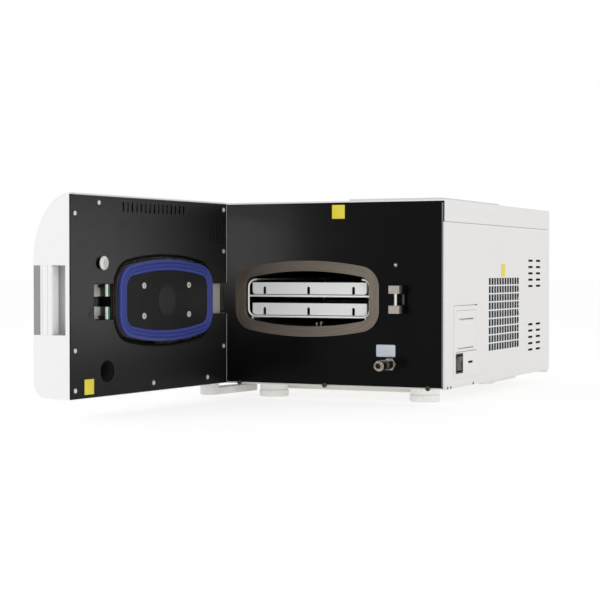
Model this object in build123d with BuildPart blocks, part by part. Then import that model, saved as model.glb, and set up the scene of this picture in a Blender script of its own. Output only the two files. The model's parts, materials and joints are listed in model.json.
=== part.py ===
from build123d import *
import os
from math import atan2, cos, radians, sin, sqrt

os.makedirs("parts", exist_ok=True)

# Where the parts sit: the origin is on the bench, in the middle of the whole open machine
cabinet_x = 33.5
front_y = -83.5

# Cabinet sizes
cabinet_width = 464.0
cabinet_depth = 643.0
panel_height = 325.0
panel_lift = 28.0
panel_sheet = 2.5
side_sheet = 1.2
hem_width = 3.25
hem_depth = 12.0
roof_sheet = 2.8
cap_height = 38.5
cap_seam = 0.6
pan_sheet = 2.0
pan_drop = 9.0
pan_rim = 24.0
rear_sheet = 2.0
slip = 0.3
running = 0.1

# Feet
foot_radius = 27.0
foot_neck_radius = 26.0
foot_ring_height = 12.5
foot_groove = 1.2
foot_round = 2.5
front_feet_x = (-121.0, 176.0)
rear_feet_x = (-121.0, 121.0)
front_feet_depth = 52.0
rear_feet_depth = 533.0

# Chamber, measured from the flange's outer outline
chamber_x = -31.5
chamber_level = 181.5
flange_half_width = 141.6
flange_half_height = 68.2
flange_corner = 38.0
flange_arch = 598.0
flange_ring = 18.4
flange_proud = 3.0
flange_neck_inset = 7.0
flange_depth = 14.0
vessel_wall = 3.5
vessel_length = 400.0
vessel_end = 6.0
jacket_thickness = 22.0
jacket_start = 18.0

# Rack and trays
rack_wire = 1.75
rack_half_width = 120.0
rack_bottom = 148.6
rack_top = 216.0
rack_corner = 14.0
rack_joint = 0.7
rack_front = 8.0
rack_length = 336.0
rack_skid = 2.2
rack_skid_drop = 2.4
rack_skid_inset = 8.0
shelf_level = 186.1
tray_half_width = 114.0
tray_sheet = 1.2
tray_height = 22.5
tray_length = 318.0
tray_edge_round = 7.0
tray_notch_width = 5.4
tray_notch_height = 15.0
tray_notch_pitch = 88.0
tray_front_gap = 1.0
tray_corner = 3.0

# Door, closed position: s runs from the hinge edge, t outwards from the inner face
door_width = 458.0
door_thickness = 77.0
door_gap = 12.5
door_rest_angle = 95.0
door_wall = 3.0
door_panel_sheet = 2.0
door_top_rise = 3.0
door_bottom_drop = 1.0
door_nose_top = 218.0
door_toe_radius = 26.0
door_side_round = 4.0
pivot_s = 20.0
pivot_t = 25.0

# Hinge
hinge_pin_radius = 4.0
hinge_knuckle_radius = 9.0
hinge_neck_offset = 14.0
hinge_neck_thick = 8.0
hinge_plate_thick = 6.0
hinge_plate_half_width = 16.0
ear_bottom = 6.0
ear_radius = 17.0
ear_tail_radius = 12.0
ear_tail_x = -186.0
ear_tail_depth = 85.0
ear_pin_radius = 5.0
ear_round = 2.0

# Door beam, a channel that carries the lid, the hinge and the lock
beam_start = 11.0
beam_lock_end = 364.0
beam_web_end = 340.0
beam_web_t = 8.0
beam_web_thick = 4.0
beam_reach = 32.0
beam_height = 54.0
lock_level = 181.5 - 28.0

# Lid in the door
lid_s = 197.5
seal_half_width = 138.5
seal_half_height = 69.2
seal_ring = 18.2
seal_thick = 6.0
seal_proud = 9.0
lid_margin = 7.0
lid_gap = 2.0
lid_cover_sink = 1.0
lid_disc_radius = 25.6
lid_disc_proud = 0.8
lid_middle_shift = 6.0
lid_screw_x = 67.0
lid_screw_z = 25.5

# Lock: the keeper on the cabinet and the hook in the door
keeper_x = 148.0
keeper_half_width = 10.0
keeper_height = 48.5
keeper_block = 13.8
keeper_lap = 1.5
keeper_reach = 28.0
keeper_base = 4.0
keeper_pin_radius = 3.15
keeper_pin_depth = 20.0
hook_s = 352.0
hook_t = 34.0
hook_hub_radius = 9.0
hook_pin_radius = 3.5
hook_thick = 14.0
hook_finger = 7.0
hook_play = 0.7
lock_window_s = (340.0, 396.7)
lock_window_half_height = 29.5

# Handle in the door's free edge
recess_low = 101.5
recess_high = 212.6
recess_t = (10.0, 74.0)
recess_deep = 30.0
grip_t = (37.0, 60.7)
grip_thick = 17.0
strip_t = (61.0, 73.7)
strip_thick = 11.0

# Coupling below the label plate, for filling and draining
coupling_x = 133.0
coupling_level = 68.0
coupling_reach = 64.0
coupling_radius = 6.5
coupling_bore = 4.0
coupling_sleeve_radius = 9.4
coupling_sleeve_length = 24.0
coupling_sleeve_travel = 4.0
coupling_collar_radius = 8.8
coupling_hex = 20.0
coupling_hex_thick = 10.0
coupling_nut_thick = 6.0
coupling_tail = 30.0
coupling_lip = 1.6
coupling_lip_rise = 1.2
coupling_collar_gap = 2.1
coupling_thread_radius = 7.5
coupling_thread_tail = 3.0

# Openings in the right side, as depth from the front and height above the bench
grille_depth = (241.4, 430.6)
grille_level = (82.0, 218.0)
grille_slot = (13.2, 12.8)
grille_count = (12, 9)
vent_slot_length = 32.0
vent_slot_height = 4.4
vent_depths = (509.5, 562.6)
vent_pitch = 12.75
vent_rows = 5
vent_top_level = 251.7
vent_low_level = 123.5

# Printer and switch housing in the right side
housing_depth = (45.0, 183.0)
housing_level = (42.5, 169.5)
housing_proud = 1.0
housing_lap = 4.0
housing_inside = 66.0
housing_wall = 2.5
housing_corner = 3.0
cover_margin = (10.7, 18.3)
cover_drop = 8.7
cover_height = 72.8
cover_thick = 3.0
cover_gap = 0.5
cover_pivot_rise = 2.4
cover_stub_radius = 1.2
cover_stub_length = 2.5
finger_groove_inset = 16.0
finger_groove_width = 3.0
finger_groove_drop = 15.6
hinge_groove_inset = 11.5
hinge_groove_width = 1.6
hinge_groove_rise = 6.0
hinge_groove_shift = 4.0
groove_deep = 1.0
paper_width = 57.0
paper_rise = 37.0
paper_inset = 34.0
paper_radius = 24.0
paper_bore = 4.3
paper_arm = 4.0
paper_arm_half = 6.0
paper_spindle_sink = 1.0
switch_margin = (9.0, 7.5)
switch_size = (37.7, 35.3)
switch_side_wall = 3.4
switch_end_wall = 2.4
switch_frame_proud = 0.5
switch_frame_deep = 16.0
rocker_half_height = 12.6
rocker_pivot_inset = 8.0
rocker_side_gap = 0.4
rocker_pin_radius = 1.5
rocker_pin_length = 2.0
card_slot_margin = (36.4, 23.1)
card_slot_size = (25.6, 4.0)

# Lid over the tanks
tank_lid_x = (45.0, 222.0)
tank_lid_depth = (13.5, 338.5)
tank_lid_thick = 3.4
tank_lid_skin = 1.2
tank_lid_lip = 6.0
tank_lid_margin = 10.0
tank_lid_corner = 4.0
tank_lid_lip_gap = 1.5
tank_lid_lip_wall = 1.5
tank_lid_rear_gap = 6.0
tank_lid_pivot = 4.5
tank_lid_barrel = 2.2

# Inside the cabinet
deck_level = 262.0
deck_sheet = 2.0
deck_depth = (21.0, 450.0)
deck_flange = 14.0
tank_height = 78.0
tank_wall = 2.5
tank_gap = 6.0
tank_corner = 8.0
tank_side_gap = 2.0
condenser_x = (196.0, 224.0)
condenser_spine = 3.0
condenser_fin = 0.6
condenser_pitch = 4.0
condenser_header = 8.0
fan_radius = 58.0
fan_blade_width = 14.0
fan_hub_radius = 19.0
fan_tip_gap = 4.0
fan_plate = 6.0
generator_radius = 42.0
generator_height = 190.0
generator_x = -165.0
generator_back_gap = 39.0
pump_x = 90.0
pump_width = 90.0
pump_back_gap = 51.0
pipe_radius = 4.0
pipe_wall = 2.0

# Sizes that follow
half_width = cabinet_width / 2
panel_half = half_width - hem_width
panel_top = panel_lift + panel_height
roof_top = panel_top + roof_sheet
side_bottom = panel_lift - roof_sheet
seam_level = roof_top - cap_height
pan_bottom = panel_lift - pan_drop
pan_floor = pan_bottom + pan_sheet
pan_back = cabinet_depth - rear_sheet
vessel_start = flange_depth - flange_proud
vessel_back = vessel_start + vessel_length
jacket_outset = jacket_thickness - flange_ring + vessel_wall + slip
pivot_x = pivot_s - door_width / 2
pivot_depth = -door_gap - pivot_t
rest = radians(door_rest_angle)
along_x, along_y = cos(rest), -sin(rest)
out_x, out_y = along_y, -along_x
corner_x = cabinet_x + pivot_x - pivot_s * along_x - pivot_t * out_x
corner_y = front_y + pivot_depth - pivot_s * along_y - pivot_t * out_y
door_bottom = panel_lift - door_bottom_drop
generator_depth = pan_back - generator_back_gap - generator_radius
pump_depth = pan_back - pump_back_gap - pump_width / 2
cover_depth = (housing_depth[0] + cover_margin[0], housing_depth[1] - cover_margin[1])
cover_level = (housing_level[1] - cover_drop - cover_height, housing_level[1] - cover_drop)
cover_middle = sum(cover_depth) / 2
paper_depth = (cover_middle - paper_width / 2, cover_middle + paper_width / 2)
paper_level = cover_level[0] + paper_rise
switch_depth = (
    housing_depth[0] + switch_margin[0],
    housing_depth[0] + switch_margin[0] + switch_size[0],
)
switch_level = (
    housing_level[0] + switch_margin[1],
    housing_level[0] + switch_margin[1] + switch_size[1],
)
card_slot_depth = (
    housing_depth[1] - card_slot_margin[0] - card_slot_size[0],
    housing_depth[1] - card_slot_margin[0],
)
card_slot_level = (
    housing_level[0] + card_slot_margin[1],
    housing_level[0] + card_slot_margin[1] + card_slot_size[1],
)
beam_low = lock_level - beam_height / 2
beam_high = lock_level + beam_height / 2
keeper_level = lock_level + panel_lift


# Planes of the cabinet: x from its centre line, depth from the front face, height from the bench
def facing(depth):
    return Plane(origin=(cabinet_x, front_y + depth, 0), x_dir=(1, 0, 0), z_dir=(0, -1, 0))


def level(height):
    return Plane(origin=(cabinet_x, front_y, height))


def side_on(x):
    return Plane(origin=(cabinet_x + x, front_y, 0), x_dir=(0, 1, 0), z_dir=(1, 0, 0))


# Planes of the open door: s along it, t out through it, height above its lower edge
def door_face(t):
    origin = (corner_x + t * out_x, corner_y + t * out_y, panel_lift)
    return Plane(origin=origin, x_dir=(along_x, along_y, 0), z_dir=(out_x, out_y, 0))


def door_level(height):
    origin = (corner_x, corner_y, panel_lift + height)
    return Plane(origin=origin, x_dir=(along_x, along_y, 0), z_dir=(0, 0, 1))


def door_end(s):
    origin = (corner_x + s * along_x, corner_y + s * along_y, panel_lift)
    return Plane(origin=origin, x_dir=(out_x, out_y, 0), z_dir=(-along_x, -along_y, 0))


def shifted(plane, centre):
    return Plane(plane.from_local_coords((*centre, 0)), x_dir=plane.x_dir, z_dir=plane.z_dir)


# Solids that repeat, each drawn on a plane and carried along its normal
def slab(plane, low, high, thick, mode=Mode.ADD, rounding=0.0):
    with BuildSketch(plane) as outline:
        with Locations(((low[0] + high[0]) / 2, (low[1] + high[1]) / 2)):
            if rounding:
                RectangleRounded(high[0] - low[0], high[1] - low[1], rounding)
            else:
                Rectangle(high[0] - low[0], high[1] - low[1])
    extrude(outline.sketch, amount=thick, mode=mode)


def disc(plane, centre, radius, thick, mode=Mode.ADD):
    with BuildSketch(plane) as outline:
        with Locations(centre):
            Circle(radius)
    extrude(outline.sketch, amount=thick, mode=mode)


def discs(plane, centres, radius, thick, mode=Mode.ADD):
    with BuildSketch(plane) as outline:
        with Locations(*centres):
            Circle(radius)
    extrude(outline.sketch, amount=thick, mode=mode)


def hexagon(plane, centre, across, thick):
    with BuildSketch(plane) as outline:
        with Locations(centre):
            RegularPolygon(across / 2, 6, major_radius=False)
    extrude(outline.sketch, amount=thick)


# The chamber's outline: straight sides, round corners and a long arch above and below
def arched(plane, centre, reach, height, corner, arch, thick, mode=Mode.ADD):
    across = reach - corner
    drop = arch - height
    rise = sqrt((arch - corner) ** 2 - across**2) - drop
    lean = atan2(across, drop + rise)
    meet = (arch * sin(lean), arch * cos(lean) - drop)
    side = (reach, rise)
    turn = (radians(90) - lean) / 2
    middle = (across + corner * cos(turn), rise + corner * sin(turn))
    with BuildSketch(shifted(plane, centre)) as outline:
        with BuildLine():
            ThreePointArc((-meet[0], meet[1]), (0, height), meet)
            ThreePointArc(meet, middle, side)
            Line(side, (side[0], -side[1]))
            ThreePointArc((side[0], -side[1]), (middle[0], -middle[1]), (meet[0], -meet[1]))
            ThreePointArc((meet[0], -meet[1]), (0, -height), (-meet[0], -meet[1]))
            ThreePointArc((-meet[0], -meet[1]), (-middle[0], -middle[1]), (-side[0], -side[1]))
            Line((-side[0], -side[1]), (-side[0], side[1]))
            ThreePointArc((-side[0], side[1]), (-middle[0], middle[1]), (-meet[0], meet[1]))
        make_face()
    extrude(outline.sketch, amount=thick, mode=mode)


def chamber_prism(depth, inset, thick, mode=Mode.ADD):
    arched(
        facing(depth + thick),
        (chamber_x, chamber_level),
        flange_half_width - inset,
        flange_half_height - inset,
        flange_corner - inset,
        flange_arch - inset,
        thick,
        mode,
    )


def lid_prism(t, inset, thick, mode=Mode.ADD):
    arched(
        door_face(t),
        (lid_s, lock_level),
        seal_half_width - inset,
        seal_half_height - inset,
        flange_corner - inset,
        flange_arch - inset,
        thick,
        mode,
    )


# Base pan: a folded tray that carries everything
with BuildPart() as base_pan:
    slab(level(pan_bottom), (-panel_half, panel_sheet), (panel_half, pan_back), pan_rim)
    inner = panel_half - pan_sheet
    slab(
        level(pan_floor),
        (-inner, panel_sheet + pan_sheet),
        (inner, pan_back - pan_sheet),
        pan_rim,
        Mode.SUBTRACT,
    )
base_pan.part.label = "base_pan"
export_step(base_pan.part, "parts/base_pan.step")


# Front panel: one black sheet with holes for the chamber, the coupling and its lower screws
screw_x = (-166.0, 4.3, 201.0)
screw_level = 26.8
screw_head_radius = 4.5
screw_head_high = 3.0
screw_shank_radius = 2.2
with BuildPart() as front_panel:
    slab(facing(panel_sheet), (-panel_half, panel_lift), (panel_half, panel_top), panel_sheet)
    chamber_prism(0, flange_neck_inset - slip, panel_sheet, Mode.SUBTRACT)
    disc(
        facing(panel_sheet),
        (coupling_x, coupling_level),
        coupling_thread_radius + slip,
        panel_sheet,
        Mode.SUBTRACT,
    )
    spots = [(x, screw_level) for x in screw_x]
    discs(facing(panel_sheet), spots, screw_shank_radius + running, panel_sheet, Mode.SUBTRACT)
front_panel.part.label = "front_panel"
export_step(front_panel.part, "parts/front_panel.step")


# A side panel: a sheet with a folded hem at the front and rear edges
def side_sheet_and_hems(side):
    outer = half_width if side > 0 else -half_width + side_sheet
    hem = half_width if side > 0 else -half_width + hem_width
    top = seam_level - cap_seam
    slab(side_on(outer), (0, side_bottom), (cabinet_depth, top), -side_sheet)
    slab(side_on(hem), (0, side_bottom), (hem_depth, top), -hem_width)
    slab(side_on(hem), (cabinet_depth - hem_depth, side_bottom), (cabinet_depth, top), -hem_width)


def vent_slots(plane, thick):
    with BuildSketch(plane) as outline:
        for depth in vent_depths:
            for start in (vent_top_level, vent_low_level):
                for row in range(vent_rows):
                    with Locations((depth, start - row * vent_pitch)):
                        SlotOverall(vent_slot_length, vent_slot_height)
    extrude(outline.sketch, amount=thick, mode=Mode.SUBTRACT)


# Right side panel: grille, vents and the opening for the printer housing
grille_pitch = tuple(
    (span[1] - span[0] - size) / (count - 1)
    for span, size, count in zip((grille_depth, grille_level), grille_slot, grille_count)
)
grille_centre = (sum(grille_depth) / 2, sum(grille_level) / 2)
with BuildPart() as side_panel_right:
    side_sheet_and_hems(1)
    vent_slots(side_on(half_width), -side_sheet)
    with BuildSketch(side_on(half_width)) as grille:
        with Locations(grille_centre):
            with GridLocations(*grille_pitch, *grille_count):
                Rectangle(*grille_slot)
    extrude(grille.sketch, amount=-side_sheet, mode=Mode.SUBTRACT)
    slab(
        side_on(half_width),
        (housing_depth[0] + housing_lap, housing_level[0] + housing_lap),
        (housing_depth[1] - housing_lap, housing_level[1] - housing_lap),
        -side_sheet,
        Mode.SUBTRACT,
    )
side_panel_right.part.label = "side_panel_right"
export_step(side_panel_right.part, "parts/side_panel_right.step")

# Left side panel: vents only
with BuildPart() as side_panel_left:
    side_sheet_and_hems(-1)
    vent_slots(side_on(-half_width + side_sheet), -side_sheet)
side_panel_left.part.label = "side_panel_left"
export_step(side_panel_left.part, "parts/side_panel_left.step")

# Rear panel: a sheet between the sides with the inlet's opening and rows of vents
inlet_x = -150.0
inlet_level = 75.0
inlet_width = 28.0
inlet_height = 48.0
inlet_flange = 2.0
inlet_lap = 5.0
inlet_deep = 26.0
rear_vent_x = (60.0, 140.0)
rear_vent_length = 60.0
rear_vent_rows = 8
rear_vent_level = 110.0
with BuildPart() as rear_panel:
    slab(facing(cabinet_depth), (-panel_half, pan_bottom), (panel_half, seam_level - cap_seam), rear_sheet)
    with BuildSketch(facing(cabinet_depth)) as rear_vents:
        for x in rear_vent_x:
            for row in range(rear_vent_rows):
                with Locations((x, rear_vent_level + row * vent_pitch)):
                    SlotOverall(rear_vent_length, vent_slot_height)
    extrude(rear_vents.sketch, amount=rear_sheet, mode=Mode.SUBTRACT)
    slab(
        facing(cabinet_depth),
        (inlet_x - inlet_width / 2, inlet_level - inlet_height / 2),
        (inlet_x + inlet_width / 2, inlet_level + inlet_height / 2),
        rear_sheet,
        Mode.SUBTRACT,
    )
rear_panel.part.label = "rear_panel"
export_step(rear_panel.part, "parts/rear_panel.step")

# Power inlet in the rear panel: a flanged socket with three blades
inlet_blade = (2.0, 4.0)
inlet_blade_x = 7.0
inlet_well = 15.0
inlet_rim = 4.0
inlet_corner = 3.0
with BuildPart() as power_inlet:
    low = (inlet_x - inlet_width / 2 + slip, inlet_level - inlet_height / 2 + slip)
    high = (inlet_x + inlet_width / 2 - slip, inlet_level + inlet_height / 2 - slip)
    slab(facing(cabinet_depth), low, high, inlet_deep)
    slab(
        facing(cabinet_depth + inlet_flange),
        (low[0] - inlet_lap, low[1] - inlet_lap),
        (high[0] + inlet_lap, high[1] + inlet_lap),
        inlet_flange,
        rounding=inlet_corner,
    )
    slab(
        facing(cabinet_depth + inlet_flange),
        (low[0] + inlet_rim, low[1] + inlet_rim),
        (high[0] - inlet_rim, high[1] - inlet_rim),
        inlet_well,
        Mode.SUBTRACT,
        rounding=inlet_corner,
    )
    blade_root = facing(cabinet_depth + inlet_flange - inlet_well)
    with BuildSketch(blade_root) as blades:
        with Locations(
            (inlet_x, inlet_level + inlet_blade_x),
            (inlet_x - inlet_blade_x, inlet_level - inlet_blade_x),
            (inlet_x + inlet_blade_x, inlet_level - inlet_blade_x),
        ):
            Rectangle(*inlet_blade)
    extrude(blades.sketch, amount=-inlet_well + inlet_flange)
power_inlet.part.label = "power_inlet"
export_step(power_inlet.part, "parts/power_inlet.step")

# Top cover: a shallow folded cap with the opening over the tanks
lid_opening_low = (tank_lid_x[0] + tank_lid_margin, tank_lid_depth[0] + tank_lid_margin)
lid_opening_high = (tank_lid_x[1] - tank_lid_margin, tank_lid_depth[1] - tank_lid_margin)
hinge_line = (tank_lid_depth[1] + tank_lid_pivot, roof_top + tank_lid_barrel + slip)
barrel_x = (tank_lid_x[0] + 22.0, tank_lid_x[1] - 52.0)
barrel_length = 10.0
barrel_pin_radius = 1.2
with BuildPart() as top_cover:
    slab(level(seam_level), (-half_width, 0), (half_width, cabinet_depth), cap_height)
    slab(
        level(seam_level),
        (-half_width + side_sheet, 0),
        (half_width - side_sheet, cabinet_depth - rear_sheet),
        cap_height - roof_sheet,
        Mode.SUBTRACT,
    )
    slab(level(roof_top - roof_sheet), lid_opening_low, lid_opening_high, roof_sheet, Mode.SUBTRACT)
    for x in barrel_x:
        for start in (x, x + 2 * barrel_length + 2 * slip):
            disc(side_on(start), hinge_line, tank_lid_barrel, barrel_length)
            slab(
                side_on(start),
                (hinge_line[0], roof_top),
                (hinge_line[0] + tank_lid_barrel, hinge_line[1]),
                barrel_length,
            )
        disc(side_on(x), hinge_line, barrel_pin_radius, 3 * barrel_length + 2 * slip)
top_cover.part.label = "top_cover"
export_step(top_cover.part, "parts/top_cover.step")

# Tank lid: a raised hollow plate, with a lip that drops into the opening and two hinge knuckles
with BuildPart() as tank_lid:
    lid_low = roof_top + slip
    lid_rise = tank_lid_thick - slip
    slab(
        level(lid_low),
        (tank_lid_x[0], tank_lid_depth[0]),
        (tank_lid_x[1], tank_lid_depth[1]),
        lid_rise,
        rounding=tank_lid_corner,
    )
    slab(
        level(lid_low),
        (tank_lid_x[0] + tank_lid_skin, tank_lid_depth[0] + tank_lid_skin),
        (tank_lid_x[1] - tank_lid_skin, tank_lid_depth[1] - tank_lid_skin),
        lid_rise - tank_lid_skin,
        Mode.SUBTRACT,
        rounding=tank_lid_corner - tank_lid_skin,
    )
    for wall, mode in ((0.0, Mode.ADD), (tank_lid_lip_wall, Mode.SUBTRACT)):
        side_gap = tank_lid_lip_gap + wall
        slab(
            level(lid_low - tank_lid_lip),
            (lid_opening_low[0] + side_gap, lid_opening_low[1] + side_gap),
            (lid_opening_high[0] - side_gap, lid_opening_high[1] - tank_lid_rear_gap - wall),
            lid_rise + tank_lid_lip - tank_lid_skin,
            mode,
        )
    for x in barrel_x:
        start = x + barrel_length + slip
        disc(side_on(start), hinge_line, tank_lid_barrel, barrel_length)
        slab(
            side_on(start),
            (tank_lid_depth[1] - tank_lid_skin, hinge_line[1] - 1),
            (hinge_line[0], hinge_line[1] + tank_lid_barrel),
            barrel_length,
        )
        disc(side_on(start), hinge_line, barrel_pin_radius + running, barrel_length, Mode.SUBTRACT)
tank_lid.part.label = "tank_lid"
export_step(tank_lid.part, "parts/tank_lid.step")

# Feet: round pads with a groove under a slightly narrower neck
with BuildPart() as feet:
    spots = [(x, front_feet_depth) for x in front_feet_x] + [(x, rear_feet_depth) for x in rear_feet_x]
    discs(level(0), spots, foot_radius, foot_ring_height)
    discs(level(foot_ring_height), spots, foot_neck_radius - foot_groove, foot_groove)
    upper = foot_ring_height + foot_groove
    discs(level(upper), spots, foot_neck_radius, pan_bottom - upper)
    rims = feet.edges().filter_by(GeomType.CIRCLE).group_by(Axis.Z)[0]
    fillet(rims, foot_round)
feet.part.label = "feet"
export_step(feet.part, "parts/feet.step")

# Dark screws along the lower edge of the front panel and the right side
side_screws = ((13.7, 27.8), (30.2, 27.8), (150.8, 27.8))
side_screw_radius = 2.2
side_screw_high = 1.2
with BuildPart() as chassis_screws:
    spots = [(x, screw_level) for x in screw_x]
    discs(facing(0), spots, screw_head_radius, screw_head_high)
    discs(facing(panel_sheet), spots, screw_shank_radius, panel_sheet)
    discs(side_on(half_width), side_screws, side_screw_radius, side_screw_high)
chassis_screws.part.label = "chassis_screws"
export_step(chassis_screws.part, "parts/chassis_screws.step")

# Chamber flange: the brushed ring on the panel, with a neck through it
with BuildPart() as chamber_flange:
    chamber_prism(-flange_proud, 0, flange_proud)
    chamber_prism(0, flange_neck_inset, flange_depth - flange_proud)
    chamber_prism(-flange_proud, flange_ring, flange_depth, Mode.SUBTRACT)
chamber_flange.part.label = "chamber_flange"
export_step(chamber_flange.part, "parts/chamber_flange.step")

# Chamber vessel: the same outline drawn back, closed at the rear, with two ports in its end
steam_port = (chamber_x + 60.0, chamber_level + 20.0)
drain_port = (chamber_x + 60.0, chamber_level - 25.0)
with BuildPart() as chamber_vessel:
    chamber_prism(vessel_start, flange_ring - vessel_wall, vessel_length)
    chamber_prism(vessel_start, flange_ring, vessel_length - vessel_end, Mode.SUBTRACT)
chamber_vessel.part.label = "chamber_vessel"
export_step(chamber_vessel.part, "parts/chamber_vessel.step")

# Jacket of insulation round the vessel
with BuildPart() as chamber_jacket:
    chamber_prism(jacket_start, -jacket_outset, vessel_back - jacket_start)
    chamber_prism(
        jacket_start,
        flange_ring - vessel_wall - slip,
        vessel_back - jacket_start,
        Mode.SUBTRACT,
    )
chamber_jacket.part.label = "chamber_jacket"
export_step(chamber_jacket.part, "parts/chamber_jacket.step")

# Chamber stand: two saddles from the pan up to the jacket
stand_depths = (60.0, 340.0)
stand_thick = 20.0
stand_half_width = 90.0
with BuildPart() as chamber_stand:
    for depth in stand_depths:
        slab(
            facing(depth + stand_thick),
            (chamber_x - stand_half_width, pan_floor),
            (chamber_x + stand_half_width, chamber_level),
            stand_thick,
        )
    chamber_prism(jacket_start, -jacket_outset - slip, vessel_back, Mode.SUBTRACT)
chamber_stand.part.label = "chamber_stand"
export_step(chamber_stand.part, "parts/chamber_stand.step")

# Two small fittings on the chamber floor: a stub and an elbow
fitting_x = (chamber_x + 7.0, chamber_x + 15.5)
fitting_depth = 30.0
fitting_radius = 2.2
fitting_high = (6.0, 8.0)
fitting_seat = 0.4
elbow_radius = 2.0
elbow_length = 7.0
with BuildPart() as chamber_fittings:
    floor_level = chamber_level - flange_half_height + flange_ring + fitting_seat
    for x, high in zip(fitting_x, fitting_high):
        disc(level(floor_level), (x, fitting_depth), fitting_radius, high)
    disc(
        side_on(fitting_x[1] - fitting_radius),
        (fitting_depth, floor_level + fitting_high[1] - fitting_radius),
        elbow_radius,
        elbow_length,
    )
chamber_fittings.part.label = "chamber_fittings"
export_step(chamber_fittings.part, "parts/chamber_fittings.step")


# Wire rack: two bent uprights, lengthwise wires and cross wires under each tray. A wire that meets
# another stops a little short of its middle, so that the two join cleanly
def rack_upright(depth):
    low, high = rack_bottom, rack_top
    reach = rack_half_width
    with BuildLine(shifted(facing(depth), (chamber_x, 0))) as path:
        FilletPolyline(
            (-reach + rack_corner + 1, high),
            (-reach, high),
            (-reach, low),
            (reach, low),
            (reach, high),
            (reach - rack_corner - 1, high),
            radius=rack_corner,
        )
    start = path.line @ 0
    with BuildSketch(Plane(origin=start, z_dir=path.line % 0)) as section:
        Circle(rack_wire)
    sweep(section.sketch, path=path.line)


rack_back = rack_front + rack_length
rack_cross_gap = 110.0
rack_cross_depths = (rack_front + rack_cross_gap, rack_front + 2 * rack_cross_gap)
with BuildPart() as wire_rack:
    for depth in (rack_front, rack_back):
        rack_upright(depth)
        reach = rack_half_width - rack_joint
        disc(side_on(chamber_x - reach), (depth, shelf_level), rack_wire, 2 * reach)
    for depth in rack_cross_depths:
        for height in (rack_bottom, shelf_level):
            reach = rack_half_width - rack_corner - rack_joint
            disc(side_on(chamber_x - reach), (depth, height), rack_wire, 2 * reach)
    for side in (-1, 1):
        x = chamber_x + side * (rack_half_width - rack_corner)
        for height in (rack_bottom, shelf_level, rack_top):
            wire_end = facing(rack_back - rack_joint)
            disc(wire_end, (x, height), rack_wire, rack_length - 2 * rack_joint)
        skid_x = chamber_x + side * (rack_half_width - rack_skid_inset)
        disc(facing(rack_back), (skid_x, rack_bottom - rack_skid_drop), rack_skid, rack_length)
wire_rack.part.label = "wire_rack"
export_step(wire_rack.part, "parts/wire_rack.step")


# Trays: folded stainless trays with three round-topped notches in the front lip
def tray(bottom):
    low = (chamber_x - tray_half_width, bottom)
    high = (chamber_x + tray_half_width, bottom + tray_height)
    start = rack_front + tray_front_gap
    back = start + tray_length
    slab(facing(back), low, high, tray_length)
    long_edges = edges().filter_by(Axis.Y).group_by(Axis.Z)[0]
    fillet(long_edges, tray_edge_round)
    upright = edges().filter_by(Axis.Z)
    fillet(upright, tray_corner)
    inner = tray_edge_round - tray_sheet
    with BuildSketch(facing(back - tray_sheet)) as hollow:
        with Locations((chamber_x, bottom + tray_sheet + tray_height)):
            RectangleRounded(2 * (tray_half_width - tray_sheet), 2 * tray_height, inner)
    extrude(hollow.sketch, amount=tray_length - 2 * tray_sheet, mode=Mode.SUBTRACT)
    with BuildSketch(facing(start + tray_sheet)) as notches:
        for turn in (-1, 0, 1):
            x = chamber_x + turn * tray_notch_pitch
            notch_low = bottom - tray_notch_width / 2
            notch_reach = tray_notch_height + tray_notch_width / 2
            with Locations((x, notch_low + notch_reach / 2)):
                SlotOverall(notch_reach, tray_notch_width, rotation=90)
    extrude(notches.sketch, amount=2 * tray_sheet, mode=Mode.SUBTRACT)


tray_seat = rack_wire + slip
with BuildPart() as tray_lower:
    tray(rack_bottom + tray_seat)
tray_lower.part.label = "tray_lower"
export_step(tray_lower.part, "parts/tray_lower.step")

with BuildPart() as tray_upper:
    tray(shelf_level + tray_seat)
tray_upper.part.label = "tray_upper"
export_step(tray_upper.part, "parts/tray_upper.step")

# Door keeper: a back plate with two blocks, and the pin that the hook catches
with BuildPart() as door_keeper:
    low, high = keeper_level - keeper_height / 2, keeper_level + keeper_height / 2
    left, right = keeper_x - keeper_half_width, keeper_x + keeper_half_width
    plate_low = (left - keeper_lap, low - keeper_lap)
    plate_high = (right + keeper_lap, high + keeper_lap)
    slab(facing(0), plate_low, plate_high, keeper_base)
    for start in (low, high - keeper_block):
        block_reach = keeper_reach - keeper_base
        slab(facing(-keeper_base), (left, start), (right, start + keeper_block), block_reach)
    pin_spot = (keeper_x, -keeper_pin_depth)
    disc(level(low), pin_spot, keeper_pin_radius + running, keeper_height, Mode.SUBTRACT)
door_keeper.part.label = "door_keeper"
export_step(door_keeper.part, "parts/door_keeper.step")

with BuildPart() as keeper_pin:
    disc(level(low + 1), pin_spot, keeper_pin_radius, keeper_height - 2)
keeper_pin.part.label = "keeper_pin"
export_step(keeper_pin.part, "parts/keeper_pin.step")

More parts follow.
